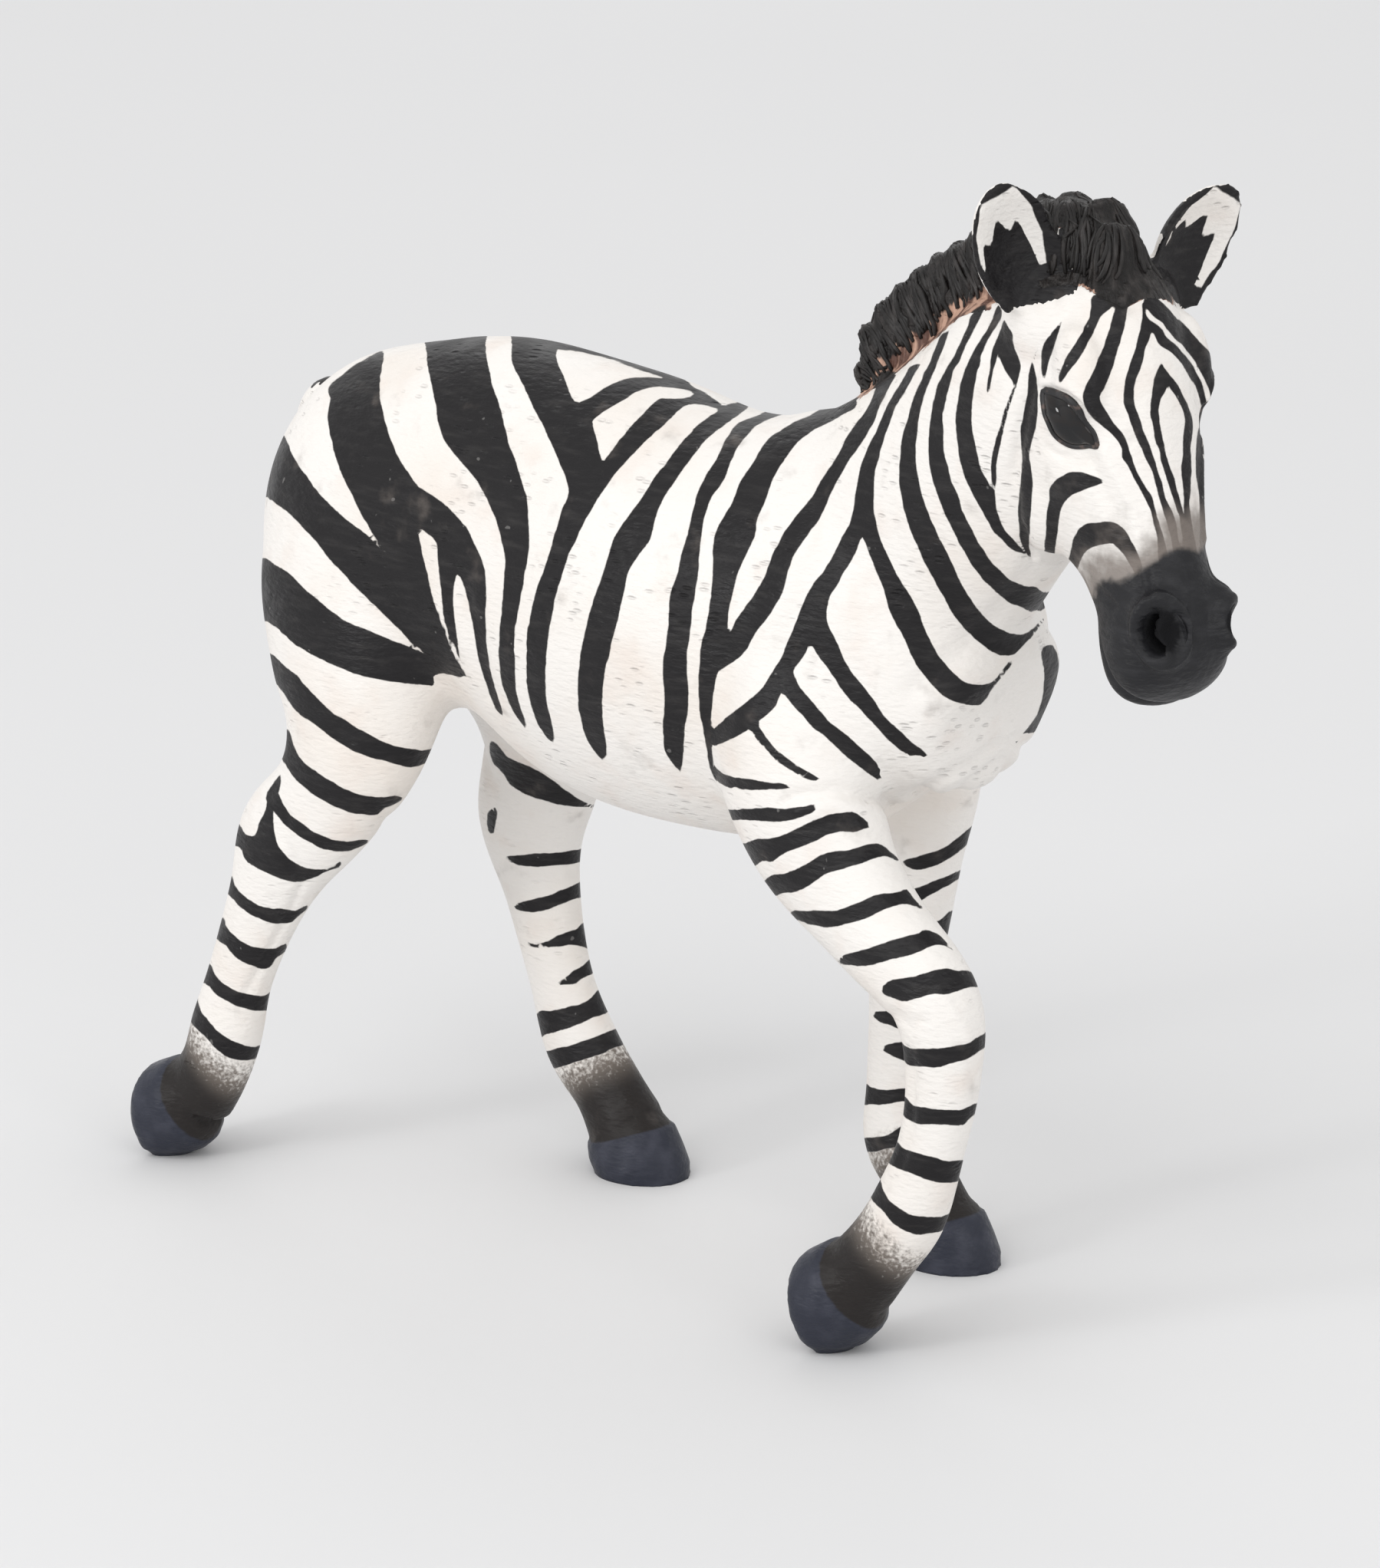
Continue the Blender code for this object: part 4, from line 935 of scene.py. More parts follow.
RIGHT_FORE_BLACK = {
    "elbow": [
        (929, 999), (943, 1008), (958, 1013), (972, 1015), (992, 1018), (1007, 1020),
        (1021, 1022), (1033, 1025), (1027, 1028), (1015, 1029), (995, 1030), (967, 1029),
        (958, 1026), (952, 1027), (940, 1022), (931, 1014),
    ],
    "arm_1": [
        (932, 1044), (946, 1054), (958, 1055), (975, 1054), (1001, 1053), (1024, 1054),
        (1039, 1052), (1053, 1050), (1061, 1048), (1065, 1052), (1059, 1059), (1045, 1065),
        (1033, 1068), (1016, 1071), (995, 1071), (972, 1069), (949, 1069), (943, 1064),
        (932, 1058),
    ],
    "arm_2": [
        (952, 1103), (975, 1098), (987, 1093), (1001, 1093), (1016, 1090), (1033, 1083),
        (1050, 1074), (1068, 1067), (1079, 1062), (1096, 1059), (1111, 1058), (1122, 1064),
        (1130, 1070), (1136, 1077), (1125, 1081), (1114, 1085), (1096, 1084), (1079, 1088),
        (1062, 1097), (1045, 1104), (1024, 1112), (1007, 1123), (995, 1122), (984, 1129),
        (972, 1125), (960, 1117), (948, 1112),
    ],
    "arm_3": [
        (994, 1152), (1005, 1141), (1021, 1139), (1039, 1133), (1056, 1123), (1073, 1113),
        (1088, 1109), (1102, 1109), (1117, 1105), (1131, 1101), (1148, 1100), (1159, 1108),
        (1172, 1122), (1157, 1117), (1146, 1117), (1131, 1123), (1114, 1128), (1099, 1133),
        (1082, 1137), (1068, 1145), (1053, 1155), (1036, 1163), (1021, 1164), (1008, 1168),
        (998, 1162),
    ],
    "forearm_1": [
        (1028, 1192), (1036, 1187), (1059, 1187), (1085, 1187), (1102, 1183), (1120, 1176),
        (1137, 1168), (1154, 1165), (1172, 1163), (1182, 1159), (1192, 1172), (1204, 1185),
        (1186, 1179), (1172, 1180), (1154, 1185), (1137, 1194), (1120, 1200), (1099, 1206),
        (1082, 1209), (1059, 1206), (1039, 1200), (1031, 1196),
    ],
    "forearm_2": [
        (1092, 1252), (1099, 1246), (1114, 1241), (1131, 1236), (1149, 1230), (1166, 1224),
        (1183, 1220), (1198, 1216), (1204, 1212), (1221, 1216), (1234, 1228), (1245, 1241),
        (1227, 1231), (1212, 1234), (1201, 1240), (1183, 1246), (1166, 1250), (1146, 1255),
        (1128, 1259), (1102, 1258), (1095, 1255),
    ],
    "knee": [
        (1149, 1288), (1157, 1280), (1175, 1275), (1192, 1273), (1206, 1268), (1221, 1264),
        (1235, 1262), (1250, 1265), (1264, 1266), (1273, 1276), (1284, 1287), (1264, 1287),
        (1250, 1292), (1232, 1296), (1215, 1296), (1198, 1301), (1180, 1306), (1163, 1301),
        (1151, 1295),
    ],
    "cannon_1": [
        (1164, 1348), (1180, 1363), (1195, 1367), (1218, 1367), (1235, 1365), (1250, 1362),
        (1263, 1359), (1273, 1353), (1292, 1342), (1292, 1358), (1279, 1369), (1264, 1379),
        (1250, 1384), (1235, 1388), (1221, 1392), (1198, 1390), (1183, 1388), (1174, 1374),
        (1164, 1362),
    ],
    "cannon_2": [
        (1164, 1416), (1183, 1433), (1193, 1441), (1206, 1444), (1226, 1446), (1248, 1447),
        (1258, 1445), (1274, 1437), (1274, 1450), (1262, 1460), (1254, 1467), (1237, 1467),
        (1219, 1465), (1202, 1466), (1189, 1462), (1179, 1455), (1168, 1438),
    ],
    "cannon_3": [
        (1164, 1478), (1175, 1495), (1189, 1501), (1206, 1505), (1222, 1510), (1237, 1513),
        (1262, 1513), (1258, 1528), (1250, 1540), (1228, 1542), (1215, 1540), (1202, 1535),
        (1187, 1530), (1172, 1524), (1158, 1516), (1148, 1508), (1158, 1496),
    ],
    "fetlock": [
        (1145, 1528), (1150, 1547), (1159, 1564), (1172, 1575), (1189, 1584), (1206, 1586),
        (1228, 1586), (1248, 1576), (1243, 1592), (1230, 1604), (1211, 1608), (1193, 1609),
        (1176, 1603), (1163, 1594), (1150, 1578), (1138, 1566), (1133, 1550), (1136, 1533),
    ],
}

LEFT_FORE_BLACK = {
    "breast": TRUNK_BLACK["breast"],
    "arm_1": [
        (1172, 1166), (1198, 1156), (1218, 1148), (1238, 1141), (1253, 1133), (1261, 1125),
        (1274, 1110), (1278, 1124), (1258, 1140), (1247, 1148), (1232, 1157), (1212, 1167),
        (1201, 1174), (1180, 1178),
    ],
    "arm_2": [
        (1200, 1208), (1216, 1203), (1227, 1198), (1242, 1186), (1247, 1205), (1240, 1216),
        (1230, 1221), (1205, 1226),
    ],
    "knee": [
        (1138, 1323), (1141, 1318), (1151, 1318), (1165, 1318), (1180, 1326), (1175, 1342),
        (1160, 1336), (1148, 1333), (1140, 1328),
    ],
    "cannon_1": [
        (1151, 1366), (1157, 1361), (1173, 1359), (1200, 1357), (1200, 1386), (1173, 1381),
        (1160, 1375), (1152, 1370),
    ],
    "cannon_2": [
        (1120, 1408), (1131, 1414), (1141, 1419), (1154, 1421), (1173, 1419), (1205, 1418),
        (1205, 1434), (1172, 1437), (1150, 1440), (1131, 1440), (1120, 1440),
    ],
    "fetlock": [
        (1116, 1484), (1126, 1483), (1141, 1482), (1154, 1480), (1163, 1476), (1175, 1468),
        (1200, 1458), (1200, 1488), (1163, 1497), (1150, 1499), (1141, 1501), (1128, 1502),
        (1116, 1500),
    ],
}

FAR_LEG_BLACK = {"left_hind": LEFT_HIND_BLACK, "left_fore": LEFT_FORE_BLACK}


def smooth_stations(table, steps=STEPS_PER_SPAN):
    """Catmull-Rom curve through the table's rows, every column alike."""
    rows = np.array(table, float)
    padded = np.vstack([2 * rows[0] - rows[1], rows, 2 * rows[-1] - rows[-2]])
    out = []
    for i in range(1, len(padded) - 2):
        p0, p1, p2, p3 = padded[i - 1 : i + 3]
        for step in range(steps):
            t = step / steps
            out.append(
                0.5
                * (
                    2 * p1
                    + (p2 - p0) * t
                    + (2 * p0 - 5 * p1 + 4 * p2 - p3) * t**2
                    + (3 * p1 - p0 - 3 * p2 + p3) * t**3
                )
            )
    out.append(padded[-2])
    return np.array(out)


def unit(v):
    """The vector at length one."""
    return v / np.linalg.norm(v)


class Mesh:
    """Points and faces gathered from several closed lofts."""

    def __init__(self):
        self.points = []
        self.faces = []

    def add_rings(self, rings):
        """Skins a closed body through rings of equally many points."""
        first = len(self.points)
        count = len(rings[0])
        for ring in rings:
            self.points.extend(ring)
        for r in range(len(rings) - 1):
            for k in range(count):
                a = first + r * count + k
                b = first + r * count + (k + 1) % count
                self.faces.append((a, b, b + count, a + count))
        for ring_index, flip in ((0, True), (len(rings) - 1, False)):
            middle = len(self.points)
            self.points.append(np.mean(rings[ring_index], axis=0))
            base = first + ring_index * count
            for k in range(count):
                a, b = base + k, base + (k + 1) % count
                self.faces.append((b, a, middle) if flip else (a, b, middle))

    def object(self, name):
        mesh = bpy.data.meshes.new(name)
        mesh.from_pydata([tuple(to_frame(p)) for p in self.points], [], self.faces)
        mesh.update()
        made = bpy.data.objects.new(name, mesh)
        bpy.context.scene.collection.objects.link(made)
        return made


def to_frame(points):
    """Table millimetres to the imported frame's metres."""
    return (np.asarray(points, float) - (BOX_CENTRE[0], BOX_CENTRE[1], 0.0)) * UNIT


def to_table(points):
    """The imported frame's metres to table millimetres."""
    return np.asarray(points, float) / UNIT + (BOX_CENTRE[0], BOX_CENTRE[1], 0.0)


def section_ring(centre, side, fore, half_width, reach_fore, reach_aft):
    """A ring of points round a section, in the plane of side and fore."""
    ring = []
    for k in range(RING_POINTS):
        a = 2 * math.pi * k / RING_POINTS
        reach = reach_fore if math.sin(a) > 0 else reach_aft
        ring.append(centre + side * half_width * math.cos(a) + fore * reach * math.sin(a))
    return ring


def loft(mesh, table, left=LEFT):
    """Lofts sections square to their own centre line; fore is T x left."""
    rows = smooth_stations(table)
    centres = rows[:, :3]
    tangents = np.gradient(centres, axis=0)
    rings = []
    for row, tangent in zip(rows, tangents):
        along = unit(tangent)
        side = unit(left - along * (left @ along))
        fore = np.cross(along, side)
        rings.append(section_ring(row[:3], side, fore, *row[3:6]))
    mesh.add_rings(rings)


def head_frame():
    """Poll point and the head's own axes: down the nose, out of the face, left."""
    turn, pitch = math.radians(HEAD_TURN), math.radians(HEAD_PITCH)
    heading = np.array([math.cos(turn), -math.sin(turn), 0.0])
    up = np.array([0.0, 0.0, 1.0])
    nose = math.cos(pitch) * heading - math.sin(pitch) * up
    face = math.sin(pitch) * heading + math.cos(pitch) * up
    left = np.cross(up, heading)
    return np.array(POLL), nose, face, left


def add_ellipsoid(mesh, centre, axes, radii):
    """Rings of an ellipsoid, almost to its two ends."""
    rings = []
    for level in np.linspace(-0.98, 0.98, 11):
        size = math.sqrt(1 - level * level)
        ring = []
        for k in range(RING_POINTS):
            t = 2 * math.pi * k / RING_POINTS
            across = axes[1] * radii[1] * math.cos(t) + axes[2] * radii[2] * math.sin(t)
            ring.append(centre + axes[0] * radii[0] * level + across * size)
        rings.append(ring)
    mesh.add_rings(rings)


def add_head(mesh):
    """The skull as sections down the nose, with soft forms laid on both sides."""
    poll, nose, face, left = head_frame()
    rings = []
    for along, face_line, jaw_line, half_width in smooth_stations(HEAD):
        depth = face_line - jaw_line
        front = depth * WIDEST_SHARE
        centre = poll + nose * along + face * (face_line - front)
        rings.append(section_ring(centre, left, face, half_width, front, depth - front))
    mesh.add_rings(rings)
    for down, out, sideways, *radii in HEAD_FORMS.values():
        for hand in (-1, 1):
            centre = poll + nose * down + face * out + left * hand * sideways
            add_ellipsoid(mesh, centre, (nose, face, left), radii)


def ear_axes(hand, down, out, sideways, lean_forward, lean_out):
    """An ear's base and its axes: up the ear, across it, and towards its back."""
    poll, nose, face, left = head_frame()
    heading = np.cross(left, [0.0, 0.0, 1.0])
    base = poll + nose * down + face * out + left * hand * sideways
    axis = unit(heading * lean_forward + left * hand * lean_out + np.array([0.0, 0.0, 1.0]))
    across = unit(left - axis * (left @ axis))
    back = np.cross(across, axis)
    return base, axis, across, back if back @ heading < 0 else -back


def add_ears(mesh):
    """Two cupped leaves whose hollows face forward."""
    for ear in EARS.values():
        base, axis, across, back = ear_axes(*ear)
        rings = []
        for share, width in smooth_stations(EAR_WIDTHS, 4):
            centre = base + axis * share * EAR_LENGTH
            half = EAR_HALF_WIDTH * width
            depth = EAR_DEPTH * width
            wall = min(EAR_WALL, depth * 0.8)
            ring = []
            for k in range(RING_POINTS):
                t = 2 * math.pi * k / RING_POINTS
                if math.sin(t) > 0:
                    bow = depth * math.sin(t)
                else:
                    bow = (wall - depth) * math.sin(t) - 0.25 * wall
                ring.append(centre + across * half * math.cos(t) + back * bow)
            rings.append(ring)
        mesh.add_rings(rings)


def crest():
    """The mane's rows, and how far along the crest each one lies."""
    rows = smooth_stations(MANE)
    steps = np.linalg.norm(np.diff(rows[:, :3], axis=0), axis=1)
    return rows, np.concatenate([[0], np.cumsum(steps)])


def crest_places(count, offsets):
    """Each place along the crest: its row, and there the way forward and sideways."""
    rows, lengths = crest()
    for k in range(count):
        at = lengths[-1] * (k + next(offsets)) / count
        row = np.array([np.interp(at, lengths, column) for column in rows.T])
        ahead = np.array([np.interp(at + CREST_STEP, lengths, column) for column in rows.T[:3]])
        behind = np.array([np.interp(at - CREST_STEP, lengths, column) for column in rows.T[:3]])
        along = unit(ahead - behind)
        yield k, row, along, LEFT - along * (LEFT @ along)


def add_mane(mesh):
    """A row of upright locks on the crest, staggered left and right."""
    length = LOCK_FULLNESS * crest()[1][-1] / MANE_LOCKS
    for k, row, along, sideways in crest_places(MANE_LOCKS, repeat(0.5)):
        across = unit(sideways)
        up = np.cross(along, across)
        height = row[3] * (1.0 if k % 2 else SHORT_LOCK)
        shift = across * LOCK_STAGGER * (1 if k % 2 else -1)
        rings = []
        for share, size in LOCK_LEVELS:
            risen = max(share, 0)
            centre = row[:3] + up * share * height + shift * risen - along * row[5] * risen**2
            ring = []
            for t in np.linspace(0, 2 * math.pi, LOCK_POINTS, endpoint=False):
                around = along * length * math.cos(t) + across * row[4] * math.sin(t)
                ring.append(centre + around * size)
            rings.append(ring)
        mesh.add_rings(rings)


def hoof_axes(tip):
    """Forward along a hoof's sole and up its wall, when it is tipped by so many degrees."""
    a = math.radians(tip)
    return np.array([math.cos(a), 0.0, -math.sin(a)]), np.array([math.sin(a), 0.0, math.cos(a)])


def add_hoof(mesh, x, y, z, tip):
    """A hoof wall from the sole up to the coronet, tipped on its toe by tip degrees."""
    toe, up = hoof_axes(tip)
    centre = np.array([x, y, z])
    rings = []
    for level, size, lean in HOOF_LEVELS:
        ring = []
        for k in range(RING_POINTS):
            t = 2 * math.pi * k / RING_POINTS
            forward = math.cos(t) * (SOLE_FRONT if math.cos(t) > 0 else SOLE_BACK)
            climb = (HOOF_HEIGHT_FRONT - HOOF_HEIGHT_BACK) * (0.5 + 0.5 * math.cos(t))
            height = HOOF_HEIGHT_BACK + climb
            rise = level * height if level > 0 else level
            ring.append(
                centre
                + toe * (forward * size - HOOF_SLOPE * lean)
                + LEFT * SOLE_HALF_WIDTH * size * math.sin(t)
                + up * rise
            )
        rings.append(ring)
    mesh.add_rings(rings)


def ease(value, low, high):
    """Rises smoothly from 0 at low to 1 at high."""
    t = np.clip((value - low) / (high - low), 0, 1)
    return t * t * (3 - 2 * t)


def distance_to_path(points, path):
    """Distance of each point from a chain of path points."""
    best = np.full(len(points), np.inf)
    for stop in path:
        best = np.minimum(best, np.linalg.norm(points - stop, axis=1))
    return best


def flesh_weights(points):
    """One on the trunk and upper legs, nought on the head, mane, tail and lower legs."""
    mane = smooth_stations(MANE)[:, :3] + [0, 0, MANE_MIDDLE]
    tail = smooth_stations(TAIL)[:, :3]
    poll, nose, face = head_frame()[:3]
    head = np.array([poll + nose * down - face * HEAD_MIDDLE for down in HEAD_STOPS])
    weights = ease(points[:, 2], *FLESH_OVER_LEGS)
    weights *= ease(distance_to_path(points, mane), *FLESH_OFF_MANE)
    weights *= ease(distance_to_path(points, tail), *FLESH_OFF_TAIL)
    return weights * ease(distance_to_path(points, head), *FLESH_OFF_HEAD)


def press_hollows(points):
    """Moves the skin inwards at each hollow of the head, on both sides."""
    poll, nose, face, left = head_frame()
    for down, out, sideways, radius, depth in HEAD_HOLLOWS.values():
        for hand in (-1, 1):
            centre = poll + nose * down + face * out + left * hand * sideways
            reach = np.linalg.norm(points - centre, axis=1) / (2 * radius)
            push = depth * np.exp(-((2 * reach) ** 2))
            points -= left * hand * push[:, None]


def cut_flat(figure):
    """Cuts the feet off on the ground plane and closes them with flat soles."""
    cut = bmesh.new()
    cut.from_mesh(figure.data)
    everything = cut.verts[:] + cut.edges[:] + cut.faces[:]
    result = bmesh.ops.bisect_plane(
        cut, geom=everything, plane_co=(0, 0, 0), plane_no=(0, 0, 1), clear_inner=True
    )
    rim = [e for e in result["geom_cut"] if isinstance(e, bmesh.types.BMEdge)]
    bmesh.ops.holes_fill(cut, edges=rim)
    bmesh.ops.triangulate(cut, faces=cut.faces[:])
    cut.to_mesh(figure.data)
    cut.free()


def apply_modifiers(made):
    """Swaps the object's mesh for what its modifiers make of it."""
    graph = bpy.context.evaluated_depsgraph_get()
    evaluated = made.evaluated_get(graph)
    mesh = bpy.data.meshes.new_from_object(evaluated)
    made.modifiers.clear()
    made.data = mesh


def add_smooth(made, passes, group=None):
    """Queues a smoothing of the mesh, weighted by a group of its points."""
    smooth = made.modifiers.new("smooth", "SMOOTH")
    smooth.factor = SMOOTH_FACTOR
    smooth.iterations = passes
    if group:
        smooth.vertex_group = group


def table_points(made):
    """A mesh's points in table millimetres."""
    return to_table([v.co for v in made.data.vertices])


def build_skin():
    """The whole animal as one closed skin, flat on its two standing soles."""
    mesh = Mesh()
    loft(mesh, TORSO)
    loft(mesh, NECK)
    add_head(mesh)
    for leg in (RIGHT_HIND, LEFT_HIND, RIGHT_FORE, LEFT_FORE):
        loft(mesh, leg)
    for hoof in HOOVES.values():
        add_hoof(mesh, *hoof)
    add_ears(mesh)
    add_mane(mesh)
    loft(mesh, TAIL)
    skin = mesh.object("zebra_skin")
    remesh = skin.modifiers.new("fuse", "REMESH")
    remesh.mode = "VOXEL"
    remesh.voxel_size = VOXEL
    apply_modifiers(skin)
    points = table_points(skin)
    press_hollows(points)
    for vertex, point in zip(skin.data.vertices, to_frame(points)):
        vertex.co = point
    flesh = skin.vertex_groups.new(name="flesh")
    for index, weight in enumerate(flesh_weights(points)):
        flesh.add([index], weight, "REPLACE")
    add_smooth(skin, FLESH_SMOOTH_PASSES, "flesh")
    add_smooth(skin, SMOOTH_PASSES)
    apply_modifiers(skin)
    cut_flat(skin)
    skin.data.shade_smooth()
    return skin


def place_camera():
    """The photograph's camera, aimed from its azimuth, elevation and distance."""
    back = Vector(camera_axes()[0])
    lens = bpy.data.cameras.new("camera")
    lens.sensor_fit = "VERTICAL"
    lens.sensor_height = SENSOR_HEIGHT
    lens.lens = SENSOR_HEIGHT * PIXELS_PER_RADIAN / PHOTO_HEIGHT
    lens.clip_start = 0.01
    camera = bpy.data.objects.new("camera", lens)
    bpy.context.scene.collection.objects.link(camera)
    camera.location = Vector(to_frame(CAMERA_TARGET)) + back * CAMERA_DISTANCE * UNIT
    camera.rotation_mode = "QUATERNION"
    camera.rotation_quaternion = (-back).to_track_quat("-Z", "Y")
    bpy.context.scene.camera = camera


def camera_axes():
    """Backward, rightward and upward from the photograph's camera."""
    a, e = math.radians(CAMERA_AZIMUTH), math.radians(CAMERA_ELEVATION)
    back = np.array([math.sin(a) * math.cos(e), -math.cos(a) * math.cos(e), math.sin(e)])
    across = unit(np.cross(-back, [0.0, 0.0, 1.0]))
    return back, across, np.cross(across, -back)


def photo_pixels(points):
    """Where table points land in the photograph."""
    back, across, up = camera_axes()
    offset = points - (np.array(CAMERA_TARGET) + back * CAMERA_DISTANCE)
    depth = -(offset @ back)
    x = PHOTO_WIDTH / 2 + PIXELS_PER_RADIAN * (offset @ across) / depth
    y = PHOTO_HEIGHT / 2 - PIXELS_PER_RADIAN * (offset @ up) / depth
    return np.stack([x, y], axis=1)


def rounded(outline):
    """The closed outline with two more points on a curve through each span."""
    p1 = np.array(outline, float)
    p0, p2, p3 = np.roll(p1, 1, axis=0), np.roll(p1, -1, axis=0), np.roll(p1, -2, axis=0)
    out = []
    for t in (0.0, 1 / 3, 2 / 3):
        curve = 2 * p1 + (p2 - p0) * t + (2 * p0 - 5 * p1 + 4 * p2 - p3) * t**2
        out.append(0.5 * (curve + (3 * p1 - p0 - 3 * p2 + p3) * t**3))
    return np.stack(out, axis=1).reshape(-1, 2)


def outline_distance(pixels, outline, limit=INK_REACH):
    """Signed distance from a closed outline in millimetres, negative inside."""
    ring = rounded(outline)
    reach = limit / MM_PER_PIXEL
    result = np.full(len(pixels), limit)
    near = np.all((pixels > ring.min(axis=0) - reach) & (pixels < ring.max(axis=0) + reach), axis=1)
    spots = pixels[near]
    best = np.full(len(spots), reach)
    inside = np.zeros(len(spots), bool)
    for start, end in zip(ring, np.roll(ring, -1, axis=0)):
        edge = end - start
        offset = spots - start
        t = np.clip(offset @ edge / max(edge @ edge, 1e-9), 0, 1)
        best = np.minimum(best, np.linalg.norm(offset - t[:, None] * edge, axis=1))
        if start[1] != end[1]:
            spans = (start[1] > spots[:, 1]) != (end[1] > spots[:, 1])
            inside ^= spans & (offset[:, 0] < offset[:, 1] * edge[0] / edge[1])
    result[near] = np.where(inside, -best, best) * MM_PER_PIXEL
    return np.clip(result, -limit, limit)


def markings(pixels, tables, white=None):
    """Distance from the nearest black marking, less the white ones inside it."""
    ink = np.full(len(pixels), INK_REACH)
    for table in tables:
        for outline in table.values():
            ink = np.minimum(ink, outline_distance(pixels, outline))
    for outline in (white or {}).values():
        ink = np.maximum(ink, -outline_distance(pixels, outline))
    return ink


def closeness(points, table):
    """Distance from a loft's centre line as a share of the loft's mean radius there."""
    best = np.full(len(points), np.inf)
    for row in smooth_stations(table, 4):
        size = max((2 * row[3] + row[4] + row[5]) / 4, LEAST_RADIUS)
        best = np.minimum(best, np.linalg.norm(points - row[:3], axis=1) / size)
    return best


def head_closeness(points):
    """Distance from the head's centre line as a share of its own radius there."""
    poll, nose, face, left = head_frame()
    best = np.full(len(points), np.inf)
    for along, face_line, jaw_line, half_width in smooth_stations(HEAD, 4):
        centre = poll + nose * along + face * (face_line + jaw_line) / 2
        offset = points - centre
        depth = max((face_line - jaw_line) / 2, LEAST_RADIUS)
        off = (offset @ nose) ** 2 / HEAD_SLICE**2
        off += ((offset @ face) / depth) ** 2 + ((offset @ left) / max(half_width, LEAST_RADIUS)) ** 2
        best = np.minimum(best, np.sqrt(off))
    return best


def mirror_mid_plane(points):
    """Points carried to the other side of the trunk's and the neck's mid-plane."""
    neck = smooth_stations(NECK)
    middle = np.interp(points[:, 0], neck[:, 0], neck[:, 1])
    middle = np.where(points[:, 2] > NECK_LEVEL, middle, 0.0)
    out = points.copy()
    out[:, 1] = 2 * middle - points[:, 1]
    return out, points[:, 1] > middle


def seen_or_mirrored(far_side, facing, seen, mirrored):
    """Seen paint, but on the far side mirrored paint where the camera doesn't see."""
    return np.where(far_side, facing * seen + (1 - facing) * mirrored, seen)


def far_leg_ink(name, points, pixels, turn):
    """A far leg's markings: those seen on its inside, and guessed bands outside."""
    ink = markings(pixels, [FAR_LEG_BLACK[name]])
    ahead = points[:, 0] - HOOVES[name][0]
    outer = 1 - ease(turn, *OUTER_TURN)
    for level, half in OUTER_BANDS[name]:
        wave = BAND_WAVE * np.sin(BAND_PACE * points[:, 0] + level) + BAND_SLANT * ahead
        band = np.abs(points[:, 2] - level - wave) - half + BAND_TAPER * np.abs(ahead) ** 0.5
        ink = np.minimum(ink, INK_REACH + (band - INK_REACH) * outer)
    return ink


def head_paint(points, pixels, facing):
    """The head's markings and its muzzle, mirrored about the head's own middle."""
    poll, _, face, left = head_frame()
    offset = points - poll
    beside = offset @ left
    mirrored = photo_pixels(points - 2 * beside[:, None] * left)
    ink = seen_or_mirrored(
        beside > 0,
        facing,
        markings(pixels, [HEAD_BLACK], HEAD_WHITE),
        markings(mirrored, [HEAD_BLACK], HEAD_WHITE),
    )
    chin = ease(-(offset @ face), *CHIN_DEPTH) * (1 - ease(np.abs(beside), *CHIN_HALF_WIDTH))
    muzzle = seen_or_mirrored(
        beside > 0,
        facing,
        outline_distance(pixels, MUZZLE_OUTLINE, SMUDGE_REACH),
        outline_distance(mirrored, MUZZLE_OUTLINE, SMUDGE_REACH),
    )
    return ink * (1 - chin) + INK_REACH * chin, muzzle


